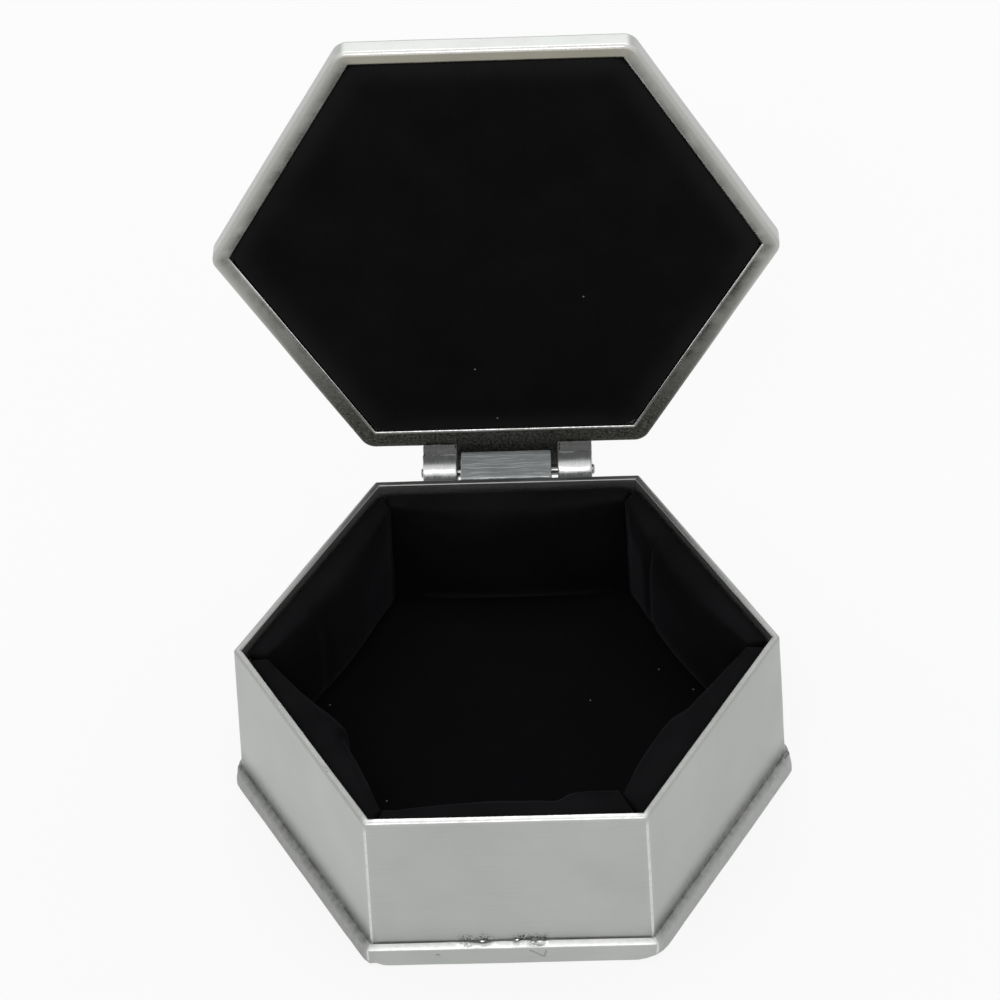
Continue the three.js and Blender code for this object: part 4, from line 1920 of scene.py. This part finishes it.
@dataclass
class Lining:
    """The velvet pads on the six walls, the floor and the lid, with their backing cards."""

    finishes: Finishes
    axis: LidAxis
    body: BoxBody
    lid: LidTray
    glue_gap: float = 0.15
    card_thickness: float = 0.4
    card_clearance: float = 0.08
    card_margin: float = 1.0
    edge_depth: float = 2.8
    crown: float = 2.7
    shoulder: int = 10
    heel: int = 4
    mitre_gap: float = 0.1
    rim_drop: float = 0.4
    top_slope: float = 0.25
    top_sheen: float = 0.4
    crest_ripple: float = 0.22
    plain_rise: tuple[float, float] = (1.1, 1.1)
    crest_rise: dict[Wall, tuple[float, float]] = field(
        default_factory=lambda: {
            Wall.BACK: (1.7, 1.2),
            Wall.BACK_LEFT: (1.2, 1.4),
            Wall.BACK_RIGHT: (1.3, 1.5),
        }
    )
    floor_crown: float = 0.8
    lid_edge: float = 0.1
    lid_hem: float = 0.6
    lid_crown: float = 0.55
    lid_roll: float = 3.6
    lid_proud: float = 0.12
    rim_cover: float = 2.2
    lid_crowding: float = 1.6
    lid_levels: tuple[float, float] = (0.15, 0.2)
    ripple: float = 0.1
    wall_cuts: int = 15
    wall_hold: float = 0.45
    sheet_rings: int = 18
    voxel: float = 0.8
    wall_fill: float = 0.7
    floor_fill: float = 0.5
    lid_fill: float = 0.4
    folds: dict[Wall, Fold] = field(
        default_factory=lambda: {
            Wall.FRONT: Fold(FoldKind.FLAP, 0.40, 0.55, 2.6),
            Wall.FRONT_RIGHT: Fold(FoldKind.FLAP, 0.25, -1.0, 1.8),
            Wall.FRONT_LEFT: Fold(FoldKind.JAG, 0.02, 0.6, 1.2),
            Wall.BACK_RIGHT: Fold(FoldKind.CREASE, 0.45, 0.05, 0.8),
            Wall.BACK_LEFT: Fold(FoldKind.CREASE, 0.35, 0.06, 0.4),
        }
    )

    def wall_flat(self, height: float) -> float:
        """From the axis to the wall's inner face at a height.

        Args:
            height: the height.
        Returns:
            The distance in millimetres.
        """
        share = (self.body.rim - height) / (self.body.rim - self.body.foot)
        lean = (self.body.foot_flat - self.body.rim_flat) * share
        return self.body.rim_flat - self.body.wall_thickness + lean

    @property
    def ring_shares(self) -> list[float]:
        """Shares of the way from the middle to the border, one for each ring of a sheet."""
        return [(step + 1) / self.sheet_rings for step in range(self.sheet_rings)]

    def wall_blank(self, wall: Wall) -> PadBlank:
        """Models one wall's pad before it swells.

        Args:
            wall: which wall.
        Returns:
            The blank.
        """
        low, high = node_box("wall_velvet_front")
        foot, top = low.z, high.z
        card_low, card_high = node_box("wall_card_front")
        turn = wall.turn.to_3x3()
        back_turn = turn.inverted()
        fold = self.folds.get(wall)
        start, end = self.crest_rise.get(wall, self.plain_rise)

        def crest(along: float) -> float:
            """Height of the pad's wavy top edge.

            Args:
                along: place along the wall, from -1 to 1.
            Returns:
                The height in millimetres.
            """
            wave = self.crest_ripple * noise.noise(Vector((5.0 * along, 3.0 * wall.value + 1.0, 1.0)))
            return top + mix(start, end, 0.5 * (along + 1.0)) + wave

        def face_depth(along: float, rise: float) -> float:
            """Depth of the pad's face from the wall.

            Args:
                along: place along the wall, from -1 to 1.
                rise: share of the pad's height.
            Returns:
                The depth in millimetres.
            """
            fullness = self.shoulder if rise > 0.5 else self.heel
            round_over = max(0.0, 1.0 - abs(2.0 * rise - 1.0) ** fullness)
            return self.edge_depth + self.crown * max(0.0, 1.0 - along * along) * round_over

        work = Workpiece()
        bmesh.ops.create_cube(work.bm, size=2.0)
        bmesh.ops.subdivide_edges(work.bm, edges=work.bm.edges[:], cuts=self.wall_cuts, use_grid_fill=True)
        for vert in work.bm.verts:
            along, share, rise = vert.co.x, 0.5 * (vert.co.y + 1.0), 0.5 * (vert.co.z + 1.0)
            height = foot + rise * (crest(along) - self.top_slope * share - foot)
            depth = self.glue_gap + share * (face_depth(along, rise) - self.glue_gap)
            flat = self.wall_flat(height) - depth
            vert.co = Vector((along * (flat * FLAT_TO_HALF_SIDE - self.mitre_gap), -flat, height))
        work.face_outwards()
        work.transform(wall.turn)

        def is_held(point: Vector) -> bool:
            """Whether a point lies at the pad's back."""
            here = back_turn @ point
            return self.wall_flat(here.z) + here.y < self.glue_gap + self.wall_hold

        def painted_sheen(point: Vector) -> float:
            """Painted sheen: lighter pile along the pad's top edge."""
            return self.top_sheen * smooth_step((point.z - top - 0.2) / 1.0)

        def fit(point: Vector) -> Vector:
            """Keeps a point between the wall, the card, the neighbours, the floor and the lid.

            Args:
                point: a point of the swollen pad.
            Returns:
                Where it goes.
            """
            here = back_turn @ point
            here.z = min(max(here.z, foot + 0.03), self.body.rim - self.rim_drop)
            wall_face = self.wall_flat(here.z)
            depth = wall_face + here.y
            along = here.x / max(1.0, (wall_face - depth) * FLAT_TO_HALF_SIDE)
            rise = (here.z - foot) / (crest(along) - foot)
            full = face_depth(along, rise)
            if depth > 0.6 * full:
                depth = max(depth, full)
            if fold is not None:
                loose = smooth_step((depth - 1.0) / 1.5) * (0.35 + 0.65 * smooth_step(rise))
                depth += fold.swell(along) * loose
            over_card = abs(here.x) < card_high.x + self.card_margin
            over_card = over_card and card_low.z - self.card_margin < here.z < card_high.z + self.card_margin
            card_face = self.glue_gap + self.card_thickness + self.card_clearance
            depth = max(depth, card_face if over_card else self.glue_gap)
            half = (wall_face - depth) * FLAT_TO_HALF_SIDE - self.mitre_gap
            return turn @ Vector((min(max(here.x, -half), half), depth - wall_face, here.z))

        nodes = [f"wall_velvet_{wall.label}", f"wall_wadding_{wall.label}"]
        name, velvet = f"wall_pad_{wall.label}", self.finishes.wall_velvet
        rules = {"is_held": is_held, "fit": fit, "painted_sheen": painted_sheen}
        return PadBlank(name, work, Body.BOX, nodes, velvet, fill=self.wall_fill, voxel=self.voxel, **rules)

    def floor_blank(self) -> PadBlank:
        """Models the floor's pad before it swells.

        Returns:
            The blank.
        """
        low, high = node_box("floor_velvet")
        card_top = node_box("floor_card")[1].z
        border = high.z - self.floor_crown
        flat = high.y
        covered = flat - self.edge_depth
        shares = self.ring_shares
        centre = Vector((0.0, 0.0))
        work = Workpiece()
        face = work.sheet([flat * share - 0.2 * share ** 8 for share in shares], border, centre)
        back = work.sheet([flat * share for share in shares], low.z, centre)
        bmesh.ops.bridge_loops(work.bm, edges=face + back)
        work.face_outwards()
        middle = 0.5 * (border + low.z)

        def is_held(point: Vector) -> bool:
            """Whether a point lies at the pad's back or under the wall pads."""
            return point.z < middle or flat_reach(point) > covered

        def fit(point: Vector) -> Vector:
            """Sets the height of the pad's face, and keeps its back off the card.

            Args:
                point: a point of the swollen pad.
            Returns:
                Where it goes.
            """
            out = flat_reach(point)
            crown = self.floor_crown * max(0.0, 1.0 - (out / flat) ** 2)
            wave = self.ripple * noise.noise(point / 6.0) * smooth_step((covered - out) / 6.0)
            if point.z > middle:
                return Vector((point.x, point.y, border + crown + abs(wave)))
            least = card_top + self.card_clearance if out < flat - self.card_margin else low.z
            return Vector((point.x, point.y, max(point.z, least)))

        nodes = ["floor_velvet", "floor_wadding"]
        velvet = self.finishes.floor_velvet
        rules = {"is_held": is_held, "fit": fit, "painted_sheen": lambda point: 0.0}
        return PadBlank("floor_pad", work, Body.BOX, nodes, velvet, fill=self.floor_fill, **rules)

    def lid_blank(self) -> PadBlank:
        """Models the lid's pad before it swells, swung open with the lid.

        Returns:
            The blank.
        """
        rim_face = self.lid.rim_face
        back = rim_face + self.lid.recess_depth - self.glue_gap
        card_face = back - self.card_thickness - self.card_clearance
        flat = self.lid.flat - self.lid.rim_width - 0.3 * self.glue_gap
        centre = Vector((self.lid.side_shift, -self.lid.recess_shift))
        shares = self.ring_shares
        work = Workpiece()
        held_from, back_from = (rim_face + level for level in self.lid_levels)
        reaches = [flat * (1.0 - (1.0 - share) ** self.lid_crowding) for share in shares]
        face = work.sheet(reaches, rim_face + self.lid_edge, centre)
        rear = work.sheet([flat * share for share in shares], back, centre)
        for vert in {v for f in work.bm.faces for v in f.verts if v.co.z < held_from}:
            share = min(1.0, (flat - flat_reach(vert.co, centre)) / self.lid_roll)
            vert.co.z -= self.lid_crown * (1.0 - (1.0 - share) ** 2)
        bmesh.ops.bridge_loops(work.bm, edges=face + rear)
        work.face_outwards()
        work.transform(self.axis.swing)
        home = self.axis.swing.inverted()

        def is_held(point: Vector) -> bool:
            """Whether a point lies at the pad's back or in its border."""
            here = home @ point
            return here.z > held_from or flat - flat_reach(here, centre) < self.lid_hem

        def painted_sheen(point: Vector) -> float:
            """Painted sheen: lighter pile on the rolled border."""
            return 1.0 - smooth_step((flat - flat_reach(home @ point, centre) - 0.4) / self.lid_roll)

        def fit(point: Vector) -> Vector:
            """Keeps the pad off its card, and low where the body's rim comes against it.

            Args:
                point: a point of the swollen pad.
            Returns:
                Where it goes.
            """
            here = home @ point
            inset = flat - flat_reach(here, centre)
            if here.z < back_from:
                wave = self.ripple * noise.noise(here / 7.0) * smooth_step((inset - 2.0) / 4.0)
                proud = self.lid_proud + 1.0 * smooth_step((inset - self.rim_cover) / 4.0)
                here.z = max(here.z - abs(wave), rim_face - proud)
            elif inset > self.card_margin:
                here.z = card_face
            return self.axis.swing @ here

        nodes = ["lid_velvet", "lid_wadding"]
        velvet = self.finishes.lid_velvet
        rules = {"is_held": is_held, "fit": fit, "painted_sheen": painted_sheen}
        return PadBlank("lid_pad", work, Body.LID, nodes, velvet, fill=self.lid_fill, **rules)

    def dress_cards(self) -> None:
        """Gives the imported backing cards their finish."""
        for name, node in frame["nodes"].items():
            if "_card" in name:
                node.data.materials.clear()
                node.data.materials.append(self.finishes.card)
                LOG.info("%s: packed node, dressed as card", name)

    def build(self) -> None:
        """Builds every pad."""
        blanks = [self.wall_blank(wall) for wall in Wall]
        blanks += [self.floor_blank(), self.lid_blank()]
        PadPress().run(blanks)
        self.dress_cards()


@dataclass(frozen=True)
class Softbox:
    """A soft lamp that faces the object."""

    name: str
    place: tuple[float, float, float]
    width: float
    height: float
    radiance: float

    def hang(self, target: Vector) -> None:
        """Adds the lamp.

        Args:
            target: the point that it faces.
        """
        lamp = bpy.data.lights.new(self.name, "AREA")
        lamp.shape = "RECTANGLE"
        lamp.size, lamp.size_y = self.width, self.height
        lamp.energy = self.radiance * math.pi * self.width * self.height
        holder = bpy.data.objects.new(self.name, lamp)
        holder.location = self.place
        holder.rotation_euler = (target - Vector(self.place)).to_track_quat("-Z", "Y").to_euler()
        bpy.context.scene.collection.objects.link(holder)


@dataclass
class Studio:
    """The floor, the light and the camera."""

    focal_pixels: float = 4570.88
    frame_pixels: float = 1000.0
    elevation: float = 44.4991
    yaw: float = 2.5846
    roll: float = -3.3277
    distance: float = 0.61539
    aim: tuple[float, float, float] = (0.000285, 0.0, 0.055646)
    sensor: float = 36.0
    floor_radius: float = 4.0
    floor_colour: Colour = (0.95, 0.95, 0.95)
    floor_glow: float = 0.85
    sky_fill: float = 0.65
    lamps: tuple[Softbox, ...] = (
        Softbox("back_softbox", (0.0, 0.50, 0.50), 0.6, 0.4, 1.1),
        Softbox("front_softbox", (-0.1, -0.55, 0.68), 0.34, 0.24, 3.0),
    )

    def set_camera(self) -> None:
        """Places the camera at the photograph's angle."""
        e, y, r = (math.radians(a) for a in (self.elevation, self.yaw, self.roll))
        back = Vector((math.sin(y) * math.cos(e), -math.cos(y) * math.cos(e), math.sin(e)))
        level = Vector((math.cos(y), math.sin(y), 0.0))
        rise = back.cross(level)
        right = level * math.cos(r) + rise * math.sin(r)
        up = rise * math.cos(r) - level * math.sin(r)
        data = bpy.data.cameras.new("camera")
        data.sensor_width = self.sensor
        data.lens = self.focal_pixels / self.frame_pixels * self.sensor
        camera = bpy.data.objects.new("camera", data)
        bpy.context.scene.collection.objects.link(camera)
        place = Matrix((right, up, back)).transposed().to_4x4()
        place.translation = Vector(self.aim) + back * self.distance
        camera.matrix_world = place
        bpy.context.scene.camera = camera

    @staticmethod
    def seen_directly(tree: bpy.types.NodeTree) -> Socket:
        """Whether a ray comes from the camera or from a mirror or glass surface.

        Args:
            tree: the node tree to add to.
        Returns:
            A socket that is 1 for such a ray and 0 for others.
        """
        path = tree.nodes.new("ShaderNodeLightPath")
        total = path.outputs["Is Camera Ray"]
        for name in ("Is Glossy Ray", "Is Transmission Ray"):
            step = tree.nodes.new("ShaderNodeMath")
            step.operation = "MAXIMUM"
            tree.links.new(total, step.inputs[0])
            tree.links.new(path.outputs[name], step.inputs[1])
            total = step.outputs[0]
        return total

    def lay_floor(self) -> None:
        """Lays a white floor that keeps the object's shadow."""
        bm = bmesh.new()
        bmesh.ops.create_circle(bm, cap_ends=True, segments=96, radius=self.floor_radius)
        mesh = bpy.data.meshes.new("floor")
        bm.to_mesh(mesh)
        bm.free()
        floor = bpy.data.objects.new("floor", mesh)
        bpy.context.scene.collection.objects.link(floor)
        material = bpy.data.materials.new("white_floor")
        material.use_nodes = True
        tree = material.node_tree
        tree.nodes.clear()
        paper = tree.nodes.new("ShaderNodeBsdfDiffuse")
        paper.inputs["Color"].default_value = (*self.floor_colour, 1.0)
        glow = tree.nodes.new("ShaderNodeEmission")
        share = tree.nodes.new("ShaderNodeMath")
        share.operation = "MULTIPLY"
        share.inputs[1].default_value = self.floor_glow
        tree.links.new(self.seen_directly(tree), share.inputs[0])
        mix = tree.nodes.new("ShaderNodeMixShader")
        tree.links.new(share.outputs[0], mix.inputs[0])
        tree.links.new(paper.outputs[0], mix.inputs[1])
        tree.links.new(glow.outputs[0], mix.inputs[2])
        output = tree.nodes.new("ShaderNodeOutputMaterial")
        tree.links.new(mix.outputs[0], output.inputs["Surface"])
        mesh.materials.append(material)
        floor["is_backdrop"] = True

    def light_sky(self) -> None:
        """Sets a white surround, dimmer as a light than as a background."""
        world = bpy.data.worlds.new("white_surround")
        world.use_nodes = True
        tree = world.node_tree
        tree.nodes.clear()
        strength = tree.nodes.new("ShaderNodeMapRange")
        strength.inputs["To Min"].default_value = self.sky_fill
        strength.inputs["To Max"].default_value = 1.0
        tree.links.new(self.seen_directly(tree), strength.inputs["Value"])
        background = tree.nodes.new("ShaderNodeBackground")
        background.inputs["Color"].default_value = (1.0, 1.0, 1.0, 1.0)
        tree.links.new(strength.outputs["Result"], background.inputs["Strength"])
        output = tree.nodes.new("ShaderNodeOutputWorld")
        tree.links.new(background.outputs[0], output.inputs["Surface"])
        bpy.context.scene.world = world

    def build(self) -> None:
        """Sets up the whole studio."""
        bpy.context.scene.view_settings.view_transform = "Standard"
        self.set_camera()
        self.lay_floor()
        self.light_sky()
        for lamp in self.lamps:
            lamp.hang(Vector(self.aim))


def write_sizes() -> None:
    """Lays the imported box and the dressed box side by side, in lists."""
    boxes = {"cad": CAD_BOX, "visual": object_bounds()}
    plain = {name: [list(low), list(high)] for name, (low, high) in boxes.items()}


def main() -> None:
    """Builds the studio and every sub-assembly in order."""
    logging.basicConfig(level=logging.INFO, format="%(name)s: %(message)s")
    Studio().build()
    finishes = Finishes.make()
    axis = LidAxis()
    body = BoxBody(finishes)
    lid = LidTray(finishes, axis, body)
    body.build()
    HingeSet(finishes, axis, body).build()
    lid.build()
    Lining(finishes, axis, body, lid).build()
    write_sizes()


if __name__ == "__main__":
    main()
